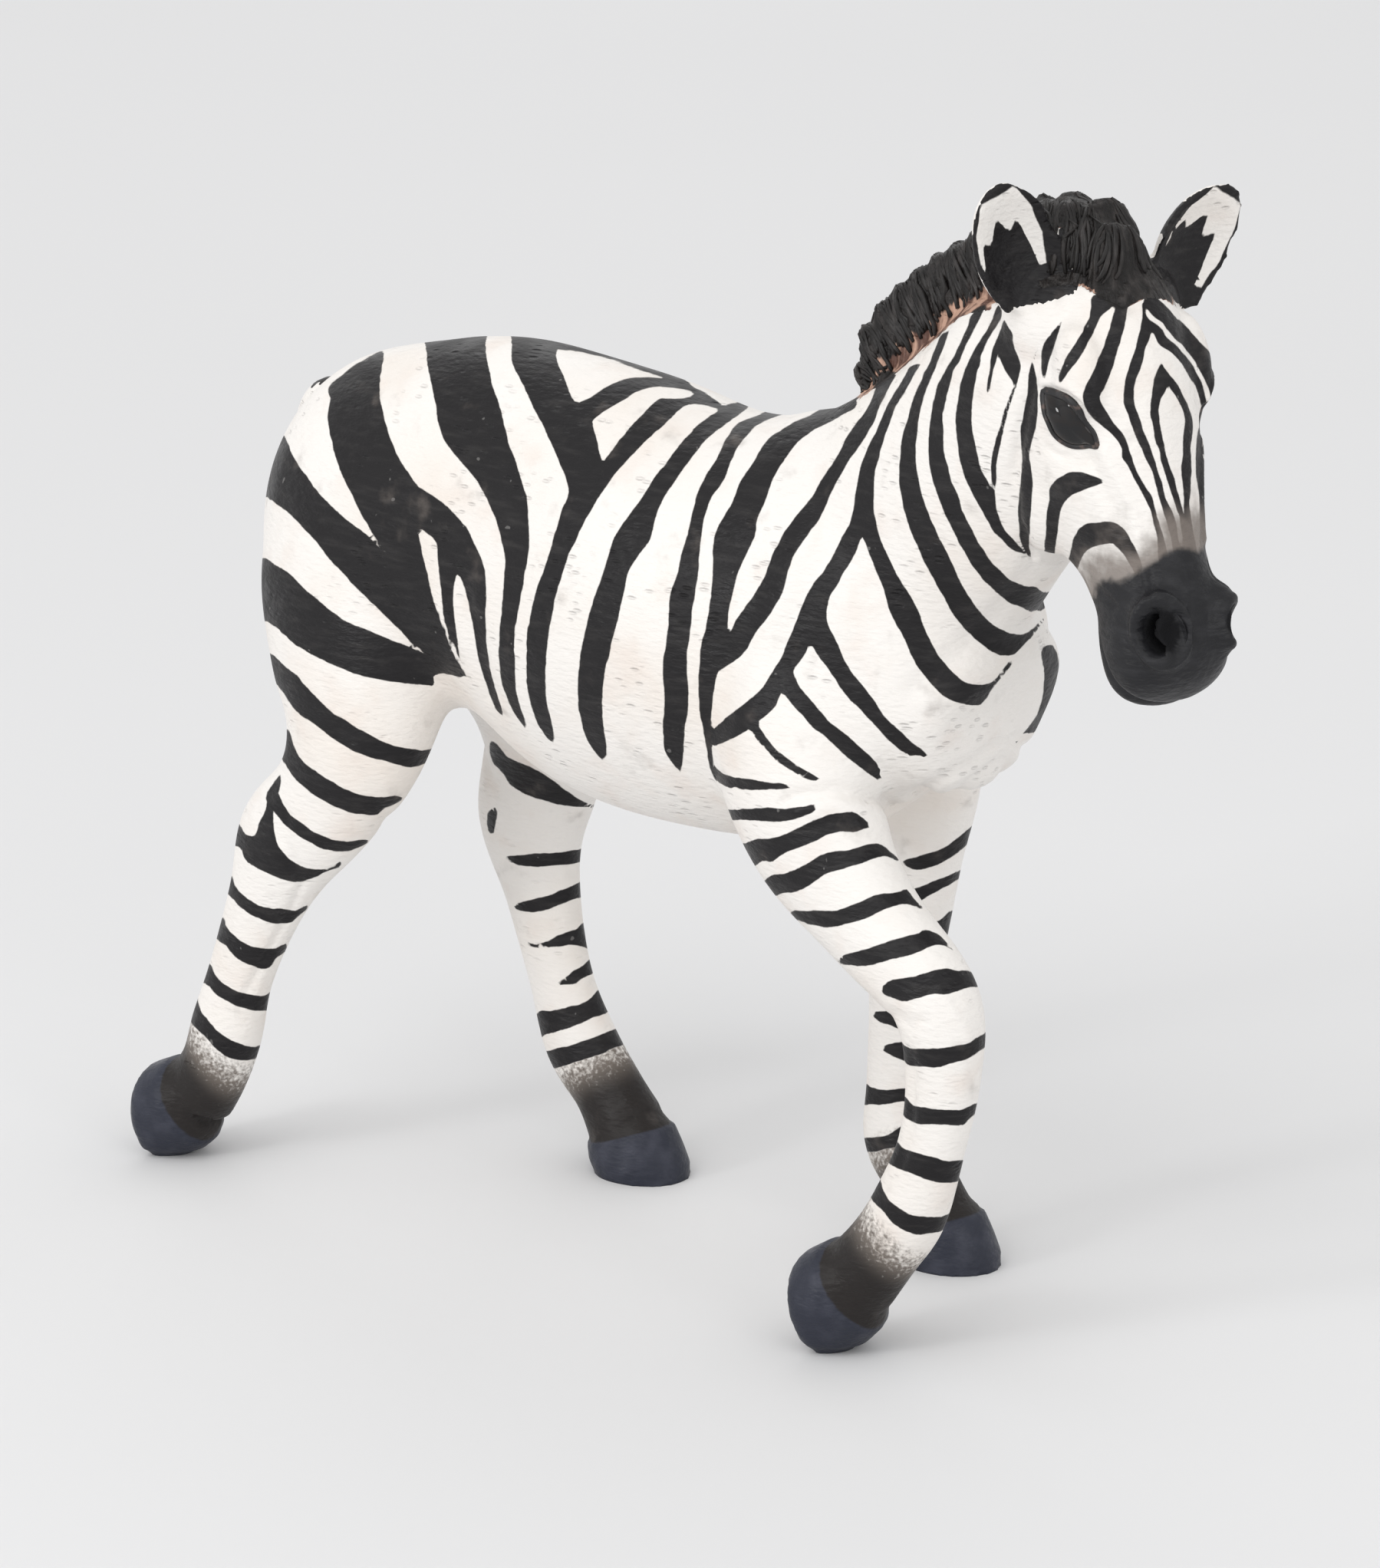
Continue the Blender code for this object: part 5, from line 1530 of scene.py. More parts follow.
def ink_of(points, normals):
    """Paint values at every point: marking, muzzle, pastern, hoof, hair and pits."""
    turn = normals @ camera_axes()[0]
    facing = ease(turn, *SEEN_TURN)
    pixels = photo_pixels(points)
    folded, far_side = mirror_mid_plane(points)
    nearness = {
        "trunk": np.minimum(closeness(points, TORSO), closeness(points, NECK)),
        "head": head_closeness(points),
        "right_hind": closeness(points, RIGHT_HIND),
        "left_hind": closeness(points, LEFT_HIND),
        "right_fore": closeness(points, RIGHT_FORE),
        "left_fore": closeness(points, LEFT_FORE),
        "tail": closeness(points, TAIL),
    }
    part = np.argmin(np.stack(list(nearness.values())), axis=0)
    is_part = {name: part == k for k, name in enumerate(nearness)}
    near_black = (TRUNK_BLACK, RIGHT_HIND_BLACK, RIGHT_FORE_BLACK)
    ink = seen_or_mirrored(
        far_side,
        facing,
        markings(pixels, near_black, TRUNK_WHITE),
        markings(photo_pixels(folded), near_black, TRUNK_WHITE),
    )
    z = points[:, 2]
    belly = ease(-normals[:, 2], *BELLY_TURN) * is_part["trunk"] * (z < BELLY_TOP)
    ink = ink * (1 - belly) + INK_REACH * belly
    for name, heights in FAR_LEG_TOPS.items():
        share = np.where(is_part[name], 1 - ease(z, *heights), 0.0)
        ink = share * far_leg_ink(name, points, pixels, turn) + (1 - share) * ink
    head_ink, muzzle = head_paint(points, pixels, facing)
    seam = (nearness["head"] < SEAM_HEAD) & (nearness["trunk"] < SEAM_NECK)
    ink = np.where(seam, np.minimum(head_ink, ink), np.where(is_part["head"], head_ink, ink))
    half = TAIL_BAND_SPACING / 2
    bands = np.abs((z + TAIL_BAND_SHIFT) % TAIL_BAND_SPACING - half) - TAIL_BAND_HALF
    ink = np.where(is_part["tail"], np.minimum(z - TUFT_TOP, bands), ink)
    hoof, pastern = hoof_values(points)
    hair = -height_over_crest(points)
    no_bare_roots = (points[:, 0] > BARE_ROOTS_END) & (hair < 0)
    clear_of_hoof = hoof > PIT_GAP
    bare_of_pits = is_part["head"] | (hoof < PIT_GAP)
    leg_pits = np.where(bare_of_pits, 0.0, LEG_PITS)
    return {
        "ink": np.clip(ink, -INK_REACH, INK_REACH),
        "muzzle": np.where(is_part["head"], muzzle, SMUDGE_REACH),
        "pastern": pastern,
        "hoof": hoof,
        "pitted": np.where(is_part["trunk"] & clear_of_hoof, TRUNK_PITS, leg_pits),
        "hair": np.where(no_bare_roots, hair - BARE_ROOT_HEIGHT, hair),
    }


def hoof_values(points):
    """Distance from the hoof walls' upper rims, and how near the pasterns, up to one."""
    pastern = np.zeros(len(points))
    hoof = np.full(len(points), INK_REACH)
    for x, y, low, tip in HOOVES.values():
        toe, up = hoof_axes(tip)
        off = points - np.array([x, y, low])
        climb = (HOOF_HEIGHT_FRONT - HOOF_HEIGHT_BACK) * ease(off @ toe, *CORONET_RUN)
        over_rim = off @ up - (HOOF_HEIGHT_BACK + climb) + CORONET_DROP
        close = np.linalg.norm(off, axis=1) < HOOF_ZONE
        close &= np.abs(off[:, 1]) < HOOF_ZONE_HALF_WIDTH
        hoof = np.where(close, np.minimum(hoof, over_rim), hoof)
        ankle = np.linalg.norm(off - up * ANKLE_RISE, axis=1)
        pastern = np.maximum(pastern, 1 - ease(ankle, PASTERN_NEAR, PASTERN_FAR))
    return np.clip(hoof, -INK_REACH, INK_REACH), pastern


def height_over_crest(points):
    """Millimetres above the mane's own root, and well below nought off the mane."""
    rows = smooth_stations(MANE)
    best = np.full(len(points), np.inf)
    rise = np.full(len(points), -HAIR_REACH)
    for k, row in enumerate(rows):
        ahead, behind = rows[min(k + 1, len(rows) - 1)], rows[max(k - 1, 0)]
        along = unit(ahead[:3] - behind[:3])
        across = unit(LEFT - along * (LEFT @ along))
        up = np.cross(along, across)
        off = points - row[:3]
        off_side = np.abs(off @ across) / (row[4] + CREST_MARGIN)
        miss = np.abs(off @ along) + 2.0 * np.maximum(off_side - 1, 0)
        height = np.where(off_side < CREST_SIDE_LIMIT, off @ up, -HAIR_REACH)
        closer = miss < best
        best = np.where(closer, miss, best)
        rise = np.where(closer & (miss < CREST_END_LIMIT), height, rise)
    return np.clip(rise - ROOT_HEIGHT, -HAIR_REACH, HAIR_REACH)


def ear_paint(points, normals, values):
    """Black rims and tips, white cups with a dark root, banded backs."""
    for ear in EARS.values():
        base, axis, across, back = ear_axes(*ear)
        off = points - base
        up, aside, behind = off @ axis / EAR_LENGTH, off @ across, off @ back
        here = (up > EAR_ZONE_LEVELS[0]) & (up < EAR_ZONE_LEVELS[1])
        here &= np.abs(aside) < EAR_ZONE_HALF_WIDTH
        here &= (behind > EAR_ZONE_DEPTH[0]) & (behind < EAR_ZONE_DEPTH[1])
        here &= np.linalg.norm(off, axis=1) < EAR_LENGTH * EAR_ZONE_REACH
        levels, widths = zip(*EAR_WIDTHS)
        rim = np.interp(up, levels, widths) * EAR_HALF_WIDTH - EAR_RIM - np.abs(aside)
        tip = (EAR_TIP_LEVEL - up) * EAR_LENGTH * EAR_TIP_SLOPE
        high = (up - EAR_PATCH_LEVEL) * EAR_LENGTH / EAR_PATCH_HEIGHT
        wide = (aside - EAR_PATCH_SHIFT) / EAR_PATCH_HALF_WIDTH
        root = (np.hypot(high, wide) - 1) * EAR_PATCH_EDGE
        root += EAR_PATCH_WAVE * np.sin(EAR_PATCH_PACE * aside)
        cup = np.minimum(np.minimum(np.minimum(rim, tip), root), (up - EAR_CUP_LEVEL) * EAR_LENGTH)
        bar = np.abs(up - EAR_BAR_LEVEL) * EAR_LENGTH - EAR_BAR_HALF
        shell = np.minimum(np.minimum(tip + EAR_TIP_BACK, bar), (up - EAR_BASE_LEVEL) * EAR_LENGTH)
        outer = normals @ back > EAR_BACK_TURN
        values["ink"] = np.where(here, np.where(outer, shell, cup), values["ink"])
        values["hair"] = np.where(here & (up > EAR_HAIR_LEVEL), HAIR_REACH, values["hair"])
        values["muzzle"] = np.where(here, SMUDGE_REACH, values["muzzle"])


def refine_head(skin):
    """Quarters the skin's faces over the head so that its carving is crisp."""
    cut = bmesh.new()
    cut.from_mesh(skin.data)
    cut.verts.ensure_lookup_table()
    near = head_closeness(to_table([v.co for v in cut.verts])) < REFINE_REACH
    edges = [e for e in cut.edges if near[e.verts[0].index] and near[e.verts[1].index]]
    bmesh.ops.subdivide_edges(cut, edges=edges, cuts=1, use_grid_fill=True, smooth=REFINE_ROUNDING)
    bmesh.ops.triangulate(cut, faces=[f for f in cut.faces if len(f.verts) > 4])
    cut.to_mesh(skin.data)
    cut.free()


def head_places(points):
    """Places in the head's frame: down the nose, out of the face, to the left."""
    poll, nose, face, left = head_frame()
    offset = points - poll
    return offset @ nose, offset @ face, offset @ left


def both_sides(points):
    """Photograph pixels of each point as seen on the head's near side."""
    beside = head_places(points)[2]
    return photo_pixels(points - 2 * np.maximum(beside, 0)[:, None] * head_frame()[3])


def nostril_ring(points):
    """Distance from the nostril's middle as a share of its own size."""
    x, y = (both_sides(points) - NOSTRIL_MIDDLE).T
    tilt = math.radians(NOSTRIL_TILT)
    wide = (x * math.cos(tilt) - y * math.sin(tilt)) / NOSTRIL_WIDTH
    tall = (x * math.sin(tilt) + y * math.cos(tilt)) / NOSTRIL_HEIGHT
    down, out, aside = head_places(points)
    here = (down > NOSTRIL_START) & (np.abs(aside) > NOSTRIL_CLEAR) & (out > NOSTRIL_LOW)
    size = np.where(aside > 0, NOSTRIL_SIZES[1], NOSTRIL_SIZES[0])
    return np.where(here, np.hypot(wide, tall) * size, OFF_NOSTRIL)


def nostril_painted_shade(points):
    """One inside the nostrils' painted shade (near-black paint in the hollows), nought outside."""
    return 1 - ease(nostril_ring(points), *NOSTRIL_SHADE)


def closeness_to_line(pixels, path, width):
    """How near each place lies to a chain of photograph pixels, one on it."""
    best = np.full(len(pixels), np.inf)
    for start, end in zip(np.array(path[:-1], float), np.array(path[1:], float)):
        edge = end - start
        offset = pixels - start
        t = np.clip(offset @ edge / (edge @ edge), 0, 1)
        best = np.minimum(best, np.linalg.norm(offset - t[:, None] * edge, axis=1))
    return np.exp(-((best / width) ** 2))


def carve(skin):
    """Sinks the nostrils, mouth and creases, and raises lids, bony forms and hoof walls."""
    points = table_points(skin)
    normals = np.array([v.normal for v in skin.data.vertices])
    down, out, aside = head_places(points)
    on_head = (head_closeness(points) < CARVE_REACH) & (down > CARVE_START)
    ring = nostril_ring(points)
    rim = NOSTRIL_RIM_HEIGHT * np.exp(-(((ring - NOSTRIL_RIM) / NOSTRIL_RIM_WIDTH) ** 2))
    rim *= np.where(aside > 0, NOSTRIL_RIM_SHARES[1], NOSTRIL_RIM_SHARES[0])
    depth = np.where(aside > 0, NOSTRIL_DEPTHS[1], NOSTRIL_DEPTHS[0])
    lift = rim - depth * np.exp(-((ring / NOSTRIL_HOLE) ** 6))
    mouth = np.interp(down, *zip(*MOUTH_LINE))
    lips = ease(down, *LIPS_START) * (1 - ease(np.abs(aside), *LIPS_END))
    lift -= MOUTH_DEPTH * lips * np.exp(-(((out - mouth) / MOUTH_WIDTH) ** 2))
    lift += LIP_RISE * lips * np.exp(-(((out - mouth + LIP_DROP) / LIP_WIDTH) ** 2))
    head_pixels = both_sides(points)
    for path, width, height in FACE_CREASES.values():
        lift += height * closeness_to_line(head_pixels, path, width)
    folds = np.zeros(len(points))
    trunk_pixels = photo_pixels(np.where(points[:, 1:2] > 0, points * (1, -1, 1), points))
    for path, width, height in BODY_FOLDS.values():
        folds += height * closeness_to_line(trunk_pixels, path, width)
    wall = ease(-hoof_values(points)[0], *LEDGE_RIM) * ease(points[:, 2], *LEDGE_GROUND)
    folds += HOOF_LEDGE * wall
    moved = points + normals * np.where(on_head, lift, folds)[:, None]
    for vertex, point in zip(skin.data.vertices, to_frame(moved)):
        vertex.co = point
    skin.data.update()


def laid_on(found):
    """A place found on the skin, as its table point and its normal."""
    place, normal = found[:2]
    return to_table(place), np.array(normal)


def eye_points(skin, hand):
    """Rings of places and normals over one eye, laid on the skin; hand is -1 for the left."""
    tree = BVHTree.FromObject(skin, bpy.context.evaluated_depsgraph_get())
    back, across, up = camera_axes()
    eye_place = np.array(CAMERA_TARGET) + back * CAMERA_DISTANCE
    poll, left = head_frame()[0], head_frame()[3]
    outline = rounded(EYE_OUTLINE)
    middle = outline.mean(axis=0)
    rings = []
    for share in EYE_RINGS:
        ring = []
        for pixel in middle + (outline - middle) * share:
            x = (pixel[0] - PHOTO_WIDTH / 2) / PIXELS_PER_RADIAN
            y = (PHOTO_HEIGHT / 2 - pixel[1]) / PIXELS_PER_RADIAN
            ray = unit(-back + across * x + up * y)
            point, normal = laid_on(tree.ray_cast(Vector(to_frame(eye_place)), Vector(ray)))
            if hand < 0:
                point = point - 2 * ((point - poll) @ left) * left
                point, normal = laid_on(tree.find_nearest(Vector(to_frame(point))))
            ring.append((point, normal))
        rings.append(ring)
    return rings


def piece_from(name, points, faces, coat):
    """A smooth piece from table points, in one coat."""
    mesh = bpy.data.meshes.new(name)
    mesh.from_pydata([tuple(to_frame(p)) for p in points], [], faces)
    mesh.update()
    mesh.shade_smooth()
    mesh.materials.append(coat)
    made = bpy.data.objects.new(name, mesh)
    bpy.context.scene.collection.objects.link(made)
    return made


def eyeball(name, rings, hand):
    """A glossy dome over the eye's opening, sunk under its rim."""
    out = unit(np.mean([normal for ring in rings for place, normal in ring], axis=0))
    centre = np.mean([place for place, normal in rings[0]], axis=0)
    points = []
    faces = []
    count = len(rings[0])
    for share, ring in zip(EYE_RINGS, rings):
        bulge = EYE_BULGE * math.sqrt(max(1 - share * share, 0.0)) - EYE_SINK
        for place, normal in ring:
            flat = place - ((place - centre) @ out) * out * EYE_FLATTENING
            points.append(flat + out * bulge)
    for r in range(len(rings) - 1):
        for k in range(count):
            a, b = r * count + k, r * count + (k + 1) % count
            faces.append((a, a + count, b + count, b))
    top = len(points)
    points.append(np.mean(points[-count:], axis=0) + out * EYE_SUMMIT)
    for k in range(count):
        faces.append((top - count + k, top, top - count + (k + 1) % count))
    if hand < 0:
        faces = [face[::-1] for face in faces]
    return piece_from(name, points, faces, eye_coat())


def eyelid(name, ring):
    """A soft painted rim round the eye, thicker along the upper lid."""
    count = len(ring)
    points = []
    faces = []
    middle = np.mean([place for place, normal in ring], axis=0)
    for k in range(count):
        place, normal = ring[k]
        along = unit(ring[(k + 1) % count][0] - ring[k - 1][0])
        out = unit(normal - along * (normal @ along))
        beside = np.cross(along, out)
        extra = UPPER_LID_EXTRA * ease(place[2] - middle[2], *UPPER_LID_RUN)
        thick = LID_THICKNESS * (1.0 + extra)
        for j in range(LID_SIDES):
            t = 2 * math.pi * j / LID_SIDES
            points.append(place + (out * math.sin(t) + beside * LID_WIDTH * math.cos(t)) * thick)
    for k in range(count):
        for j in range(LID_SIDES):
            a, b = k * LID_SIDES + j, k * LID_SIDES + (j + 1) % LID_SIDES
            c = ((k + 1) % count) * LID_SIDES
            faces.append((a, b, c + (j + 1) % LID_SIDES, c + j))
    return piece_from(name, points, faces, lid_coat())


def lay_strands(name, skin, aims):
    """Tapered strands from chains of aims, each dropped onto the skin."""
    tree = BVHTree.FromObject(skin, bpy.context.evaluated_depsgraph_get())
    points = []
    faces = []
    for thick, aim in aims:
        path = [laid_on(tree.find_nearest(Vector(to_frame(place)))) for place in aim]
        first = len(points)
        for j, (point, normal) in enumerate(path):
            run = path[min(j + 1, len(path) - 1)][0] - path[max(j - 1, 0)][0]
            run = unit(run + 1e-6)
            out = unit(normal - run * (normal @ run))
            beside = np.cross(run, out)
            t = j / (len(path) - 1)
            span = min(STRAND_SPAN[0] + (1 - STRAND_SPAN[0]) * t, STRAND_SPAN[1])
            size = thick * (STRAND_LEAST + (1 - STRAND_LEAST) * math.sin(math.pi * span))
            for m in range(STRAND_SIDES):
                a = 2 * math.pi * m / STRAND_SIDES
                points.append(point + (out * math.sin(a) + beside * math.cos(a)) * size)
        for j in range(len(path) - 1):
            base = first + j * STRAND_SIDES
            for m in range(STRAND_SIDES):
                a, b = base + m, base + (m + 1) % STRAND_SIDES
                faces.append((a, b, b + STRAND_SIDES, a + STRAND_SIDES))
        last = first + (len(path) - 1) * STRAND_SIDES
        faces.append(tuple(first + m for m in reversed(range(STRAND_SIDES))))
        faces.append(tuple(last + m for m in range(STRAND_SIDES)))
    return piece_from(name, points, faces, strand_coat())


def mane_aims():
    """Where the mane's strands run: up each side of the crest, waving and leaning back."""
    chance = np.random.default_rng(7)
    offsets = iter(lambda: chance.uniform(0, 1), None)
    aims = []
    for k, row, along, sideways in crest_places(STRANDS, offsets):
        across = unit(sideways) * (1 if k % 2 else -1)
        up = unit(np.cross(along, sideways))
        spread = chance.uniform(*STRAND_SPREAD)
        phase = chance.uniform(0, 6.28)
        sweep = chance.uniform(*STRAND_SWEEP)
        low = chance.uniform(*(BARE_START if row[0] < BARE_ROOTS_END else COVERED_START))
        aim = []
        for share in np.linspace(low, chance.uniform(*STRAND_END), STRAND_POINTS):
            wave = STRAND_WAVE * math.sin(phase + STRAND_PACE * share)
            lean = row[5] * share**2 + sweep * share + wave
            place = row[:3] + up * row[3] * share - along * lean
            aim.append(place + across * row[4] * spread * (1.1 - 0.5 * share))
        aims.append((STRAND_RADIUS * chance.uniform(*STRAND_SIZES), aim))
    return aims


def tuft_aims():
    """Where the tail tuft's strands run: down all round it."""
    chance = np.random.default_rng(11)
    rows = smooth_stations(TAIL)
    rows = rows[rows[:, 2] < TUFT_TOP + TUFT_LEAD]
    aims = []
    for k in range(TUFT_STRANDS):
        around = 2 * math.pi * k / TUFT_STRANDS + chance.uniform(*TUFT_SCATTER)
        turn = chance.uniform(*TUFT_TURN)
        begin = chance.uniform(*TUFT_START)
        end = min(begin + chance.uniform(*TUFT_LENGTH), 1.0)
        aim = []
        for share in np.linspace(begin, end, STRAND_POINTS):
            row = rows[int(round(share * (len(rows) - 1)))]
            a = around + turn * share
            aim.append(row[:3] + np.array([math.cos(a), math.sin(a), 0.0]) * (row[3] + TUFT_STANDOFF))
        aims.append((STRAND_RADIUS * chance.uniform(*TUFT_SIZES), aim))
    return aims


def add_node(tree, kind, inputs=(), **settings):
    """A shader node with its settings and inputs; an input may be another node's socket."""
    made = tree.nodes.new("ShaderNode" + kind)
    for key, value in settings.items():
        setattr(made, key, value)
    for key, value in dict(inputs).items():
        socket = made.inputs[key]
        if isinstance(value, bpy.types.NodeSocket):
            tree.links.new(value, socket)
        else:
            socket.default_value = value
    return made


def paint_value(tree, name):
    """A value that give_paint wrote on the skin's points."""
    return add_node(tree, "Attribute", attribute_name=name).outputs["Fac"]


def ramp(tree, value, low, high, start=0.0, end=1.0):
    """Eases from start at low to end at high."""
    inputs = {"Value": value, "From Min": low, "From Max": high, "To Min": start, "To Max": end}
    made = add_node(tree, "MapRange", inputs, interpolation_type="SMOOTHSTEP")
    return made.outputs["Result"]


def combine(tree, operation, first, second):
    """A sum, difference, product or the like of two values."""
    return add_node(tree, "Math", {0: first, 1: second}, operation=operation).outputs[0]


def mix_colour(tree, share, first, second):
    """The first colour, or by its share the second."""
    made = add_node(tree, "Mix", {0: share}, data_type="RGBA")
    for index, value in ((6, first), (7, second)):
        if isinstance(value, bpy.types.NodeSocket):
            tree.links.new(value, made.inputs[index])
        else:
            made.inputs[index].default_value = value
    return made.outputs[2]


def speck(tree, place, name):
    """Noise of the grain that the table gives under this name."""
    scale, detail, stretch = GRAINS[name]
    spread = add_node(tree, "Mapping", {"Vector": place, "Scale": stretch})
    inputs = {"Vector": spread.outputs[0], "Scale": scale, "Detail": detail}
    return add_node(tree, "TexNoise", inputs).outputs["Fac"]


def new_coat(name):
    """A material, its nodes, its shader and the place on the object."""
    coat = bpy.data.materials.new(name)
    coat.use_nodes = True
    tree = coat.node_tree
    shader = tree.nodes["Principled BSDF"]
    place = add_node(tree, "TexCoord").outputs["Object"]
    return coat, tree, shader, place


def markings_colour(tree, place, wobble, brushed):
    """Clouded white with worn black markings, and how black each place is."""
    edge = combine(tree, "ADD", paint_value(tree, "ink"), combine(tree, "MULTIPLY", wobble, 0.3))
    black = ramp(tree, edge, -0.07, 0.05, 1.0, 0.0)
    blotch = ramp(tree, speck(tree, place, "blotch"), 0.42, 0.75)
    cloud = ramp(tree, speck(tree, place, "cloud"), 0.5, 0.8)
    white = mix_colour(tree, combine(tree, "MULTIPLY", blotch, 0.75), WHITE, CREAM)
    white = mix_colour(tree, combine(tree, "MULTIPLY", cloud, 0.3), white, BLUSH)
    dark = mix_colour(tree, ramp(tree, brushed, 0.45, 0.85), BLACK, WORN_BLACK)
    fleck = ramp(tree, speck(tree, place, "fleck"), 0.76, 0.79)
    dark = mix_colour(tree, combine(tree, "MULTIPLY", fleck, 0.35), dark, FLECK)
    return mix_colour(tree, black, white, dark), black


def dust_pasterns(tree, place, colour, black):
    """Airbrushed speckles that thicken into soot towards the hooves."""
    pastern = paint_value(tree, "pastern")
    grit = combine(tree, "SUBTRACT", speck(tree, place, "grit"), 0.5)
    speckle = combine(tree, "MULTIPLY", grit, 1.3)
    dusted = ramp(tree, combine(tree, "ADD", pastern, speckle), -0.15, 0.6)
    dusted = combine(tree, "MULTIPLY", dusted, ramp(tree, pastern, 0.0, 0.12))
    dusted = combine(tree, "MULTIPLY", dusted, ramp(tree, black, 0.0, 1.0, 1.0, 0.0))
    soot = mix_colour(tree, ramp(tree, pastern, 0.35, 0.95), DUST, SOOT)
    return mix_colour(tree, dusted, colour, soot)


def airbrush_muzzle(tree, place, colour, wobble, brushed):
    """Charcoal over the muzzle, with a smudge above its edge."""
    muzzle = paint_value(tree, "muzzle")
    fading = ramp(tree, muzzle, 0.0, SMUDGE_REACH, 0.48, 0.0)
    smear = combine(tree, "ADD", speck(tree, place, "smear"), fading)
    colour = mix_colour(tree, ramp(tree, smear, 0.6, 1.0, 0.0, 0.9), colour, SMUDGE)
    over = combine(tree, "ADD", muzzle, combine(tree, "MULTIPLY", wobble, 1.2))
    snout = mix_colour(tree, ramp(tree, brushed, 0.4, 0.9), CHARCOAL, GREY)
    return mix_colour(tree, ramp(tree, over, -0.35, 0.5, 1.0, 0.0), colour, snout)


def brush_mane(tree, colour, tress):
    """Dark streaked hair, with pinkish bare roots where there is no marking."""
    ragged = combine(tree, "MULTIPLY", combine(tree, "SUBTRACT", tress, 0.5), 2.6)
    hair_edge = combine(tree, "ADD", paint_value(tree, "hair"), ragged)
    hair = mix_colour(tree, ramp(tree, tress, 0.4, 0.75), HAIR, WORN_HAIR)
    root = mix_colour(tree, ramp(tree, tress, 0.42, 0.6), ROOT_DARK, ROOT)
    off_ink = ramp(tree, paint_value(tree, "ink"), 0.05, 0.3)
    low = ramp(tree, hair_edge, -BARE_ROOT_HEIGHT, BARE_ROOT_FADE - BARE_ROOT_HEIGHT)
    hair = mix_colour(tree, combine(tree, "MULTIPLY", off_ink, low), hair, root)
    return mix_colour(tree, ramp(tree, hair_edge, -0.1, 0.1, 1.0, 0.0), colour, hair)


def paint_relief(tree, place, tress):
    """Fine grain, small pits and combed hair as one height."""
    inputs = {"Vector": place, "Rotation": PIT_TURN, "Scale": PIT_STRETCH}
    dent = add_node(tree, "Mapping", inputs)
    cells = {"Vector": dent.outputs[0], "Scale": PIT_SCALE, "Randomness": 1.0}
    cell = add_node(tree, "TexVoronoi", cells).outputs["Distance"]
    patch = ramp(tree, speck(tree, place, "pit_patch"), 0.48, 0.6)
    pits = combine(tree, "MULTIPLY", ramp(tree, cell, 0.05, 0.34, 1.0, 0.0), patch)
    pits = combine(tree, "MULTIPLY", pits, paint_value(tree, "pitted"))
    fine = combine(tree, "MULTIPLY", speck(tree, place, "relief"), 0.5)
    height = combine(tree, "SUBTRACT", fine, pits)
    combed = ramp(tree, paint_value(tree, "hair"), -0.4, 0.4, 2.4, 0.0)
    return combine(tree, "ADD", height, combine(tree, "MULTIPLY", tress, combed))


def paint_coat():
    """Hand-painted white with black markings, airbrushed muzzle and pasterns, grey hooves, and
    near-black painted shade in the nostrils.
    """
    coat, tree, shader, place = new_coat("paint")
    wobble = combine(tree, "SUBTRACT", speck(tree, place, "wobble"), 0.5)
    brushed = speck(tree, place, "brush")
    tress = speck(tree, place, "tress")
    colour, black = markings_colour(tree, place, wobble, brushed)
    colour = dust_pasterns(tree, place, colour, black)
    colour = airbrush_muzzle(tree, place, colour, wobble, brushed)
    colour = brush_mane(tree, colour, tress)
    horn = mix_colour(tree, ramp(tree, speck(tree, place, "horn"), 0.4, 0.8), HOOF, WORN_HOOF)
    on_hoof = ramp(tree, paint_value(tree, "hoof"), -0.12, 0.12, 1.0, 0.0)
    colour = mix_colour(tree, on_hoof, colour, horn)
    # The nostril hollows get near-black paint as painted shade, and a matt finish
    shade_in_nostril = paint_value(tree, "nostril")
    tree.links.new(mix_colour(tree, shade_in_nostril, colour, EYE_BLACK), shader.inputs["Base Color"])
    shader.inputs["Specular IOR Level"].default_value = PAINT_SPECULAR
    gloss = ramp(tree, speck(tree, place, "gloss"), 0.3, 0.7, 0.36, 0.5)
    gloss = combine(tree, "MAXIMUM", gloss, ramp(tree, shade_in_nostril, 0.0, 1.0, 0.0, 0.95))
    tree.links.new(gloss, shader.inputs["Roughness"])
    height = paint_relief(tree, place, tress)
    bump = add_node(tree, "Bump", {"Height": height, **PAINT_BUMP})
    tree.links.new(bump.outputs[0], shader.inputs["Normal"])
    return coat


def eye_coat():
    """Glossy near-black enamel with a faint brown iris."""
    coat, tree, shader, place = new_coat("eye")
    tint = ramp(tree, speck(tree, place, "eye_tint"), 0.4, 0.7)
    tree.links.new(mix_colour(tree, tint, EYE_BLACK, EYE_BROWN), shader.inputs["Base Color"])
    gloss = ramp(tree, speck(tree, place, "eye_gloss"), 0.3, 0.7, 0.05, 0.1)
    tree.links.new(gloss, shader.inputs["Roughness"])
    shader.inputs["Specular IOR Level"].default_value = EYE_SPECULAR
    return coat


def strand_coat():
    """Brown-black strands, paler where the brush has worn."""
    coat, tree, shader, place = new_coat("mane_paint")
    worn = ramp(tree, speck(tree, place, "strand_wear"), 0.42, 0.8)
    tree.links.new(mix_colour(tree, worn, HAIR, WORN_HAIR), shader.inputs["Base Color"])
    gloss = ramp(tree, speck(tree, place, "strand_gloss"), 0.3, 0.7, 0.36, 0.55)
    tree.links.new(gloss, shader.inputs["Roughness"])
    shader.inputs["Specular IOR Level"].default_value = STRAND_SPECULAR
    inputs = {"Height": speck(tree, place, "strand_relief"), **STRAND_BUMP}
    tree.links.new(add_node(tree, "Bump", inputs).outputs[0], shader.inputs["Normal"])
    return coat


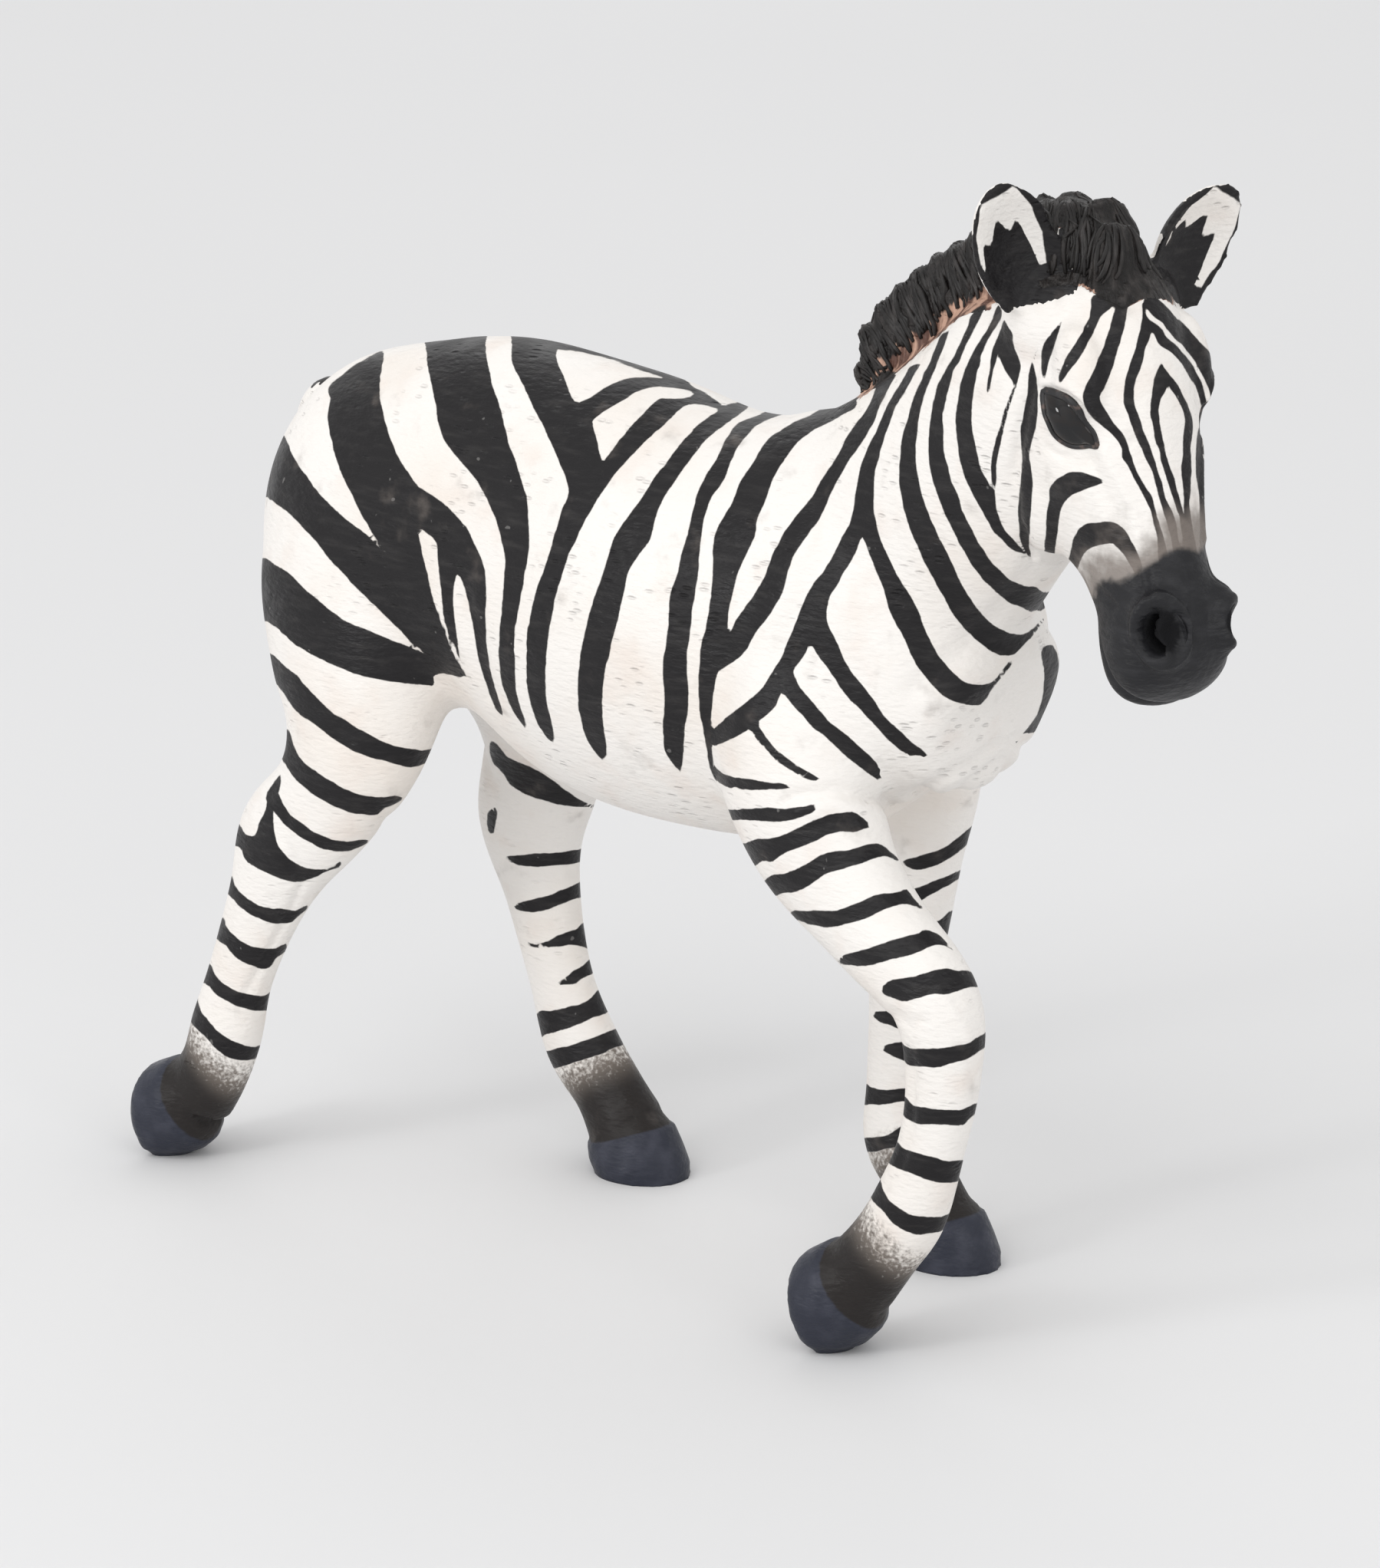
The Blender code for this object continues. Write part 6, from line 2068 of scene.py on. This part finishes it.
def lid_coat():
    """Dark painted lids with a pinkish worn edge."""
    coat, tree, shader, place = new_coat("lid")
    worn = ramp(tree, speck(tree, place, "lid_wear"), 0.52, 0.7)
    tree.links.new(mix_colour(tree, worn, BLACK, LID_WORN), shader.inputs["Base Color"])
    gloss = ramp(tree, speck(tree, place, "lid_gloss"), 0.3, 0.7, 0.35, 0.5)
    tree.links.new(gloss, shader.inputs["Roughness"])
    return coat


def floor_coat():
    """Matt pale grey with the faintest unevenness."""
    coat, tree, shader, place = new_coat("studio_floor")
    grain = ramp(tree, speck(tree, place, "floor"), 0.2, 0.8)
    tree.links.new(mix_colour(tree, grain, FLOOR_PALE, FLOOR_DIM), shader.inputs["Base Color"])
    shader.inputs["Roughness"].default_value = FLOOR_ROUGHNESS
    shader.inputs["Specular IOR Level"].default_value = FLOOR_SPECULAR
    return coat


def give_paint(skin):
    """Writes the paint values on the skin's points."""
    points = table_points(skin)
    normals = np.array([v.normal for v in skin.data.vertices])
    values = ink_of(points, normals)
    ear_paint(points, normals, values)
    # How deep in the nostrils' painted shade each point lies
    values["nostril"] = nostril_painted_shade(points)
    for name, numbers in values.items():
        layer = skin.data.attributes.new(name, "FLOAT", "POINT")
        layer.data.foreach_set("value", np.asarray(numbers, np.float32))


def soft_light(name, place, size, watts):
    """A square studio light aimed at the figure."""
    lamp = bpy.data.lights.new(name, "AREA")
    lamp.size = size
    lamp.energy = watts
    holder = bpy.data.objects.new(name, lamp)
    bpy.context.scene.collection.objects.link(holder)
    holder.location = place
    holder.rotation_mode = "QUATERNION"
    holder.rotation_quaternion = (Vector((0, 0, 0.05)) - Vector(place)).to_track_quat("-Z", "Y")


def light_studio():
    """An even pale surround, a broad key from above the camera's left and two fills."""
    world = bpy.data.worlds.new("studio")
    world.use_nodes = True
    surround = world.node_tree.nodes["Background"]
    surround.inputs["Color"].default_value = (1.0, 1.0, 1.0, 1)
    surround.inputs["Strength"].default_value = SURROUND
    bpy.context.scene.world = world
    for name, (place, size, watts) in LIGHTS.items():
        soft_light(name, place, size, watts)
    bpy.context.scene.view_settings.view_transform = "Standard"


skin = build_skin()
refine_head(skin)
carve(skin)
give_paint(skin)
skin.data.materials.append(paint_coat())
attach(skin, "root")
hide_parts("zebra_figurine")
mane = lay_strands("mane_strands", skin, mane_aims())
tuft = lay_strands("tail_strands", skin, tuft_aims())
for strands in (mane, tuft):
    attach(strands, "root")
for name, hand in (("right_eye", 1), ("left_eye", -1)):
    rings = eye_points(skin, hand)
    for piece in (eyeball(name, rings, hand), eyelid(name + "_lid", rings[0])):
        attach(piece, "root")
place_camera()
light_studio()

floor_mesh = bpy.data.meshes.new("floor")
corners = [(x * FLOOR_REACH, y * FLOOR_REACH, 0) for x, y in ((-1, -1), (1, -1), (1, 1), (-1, 1))]
floor_mesh.from_pydata(corners, [], [(0, 1, 2, 3)])
floor = bpy.data.objects.new("floor", floor_mesh)
floor.data.materials.append(floor_coat())
bpy.context.scene.collection.objects.link(floor)
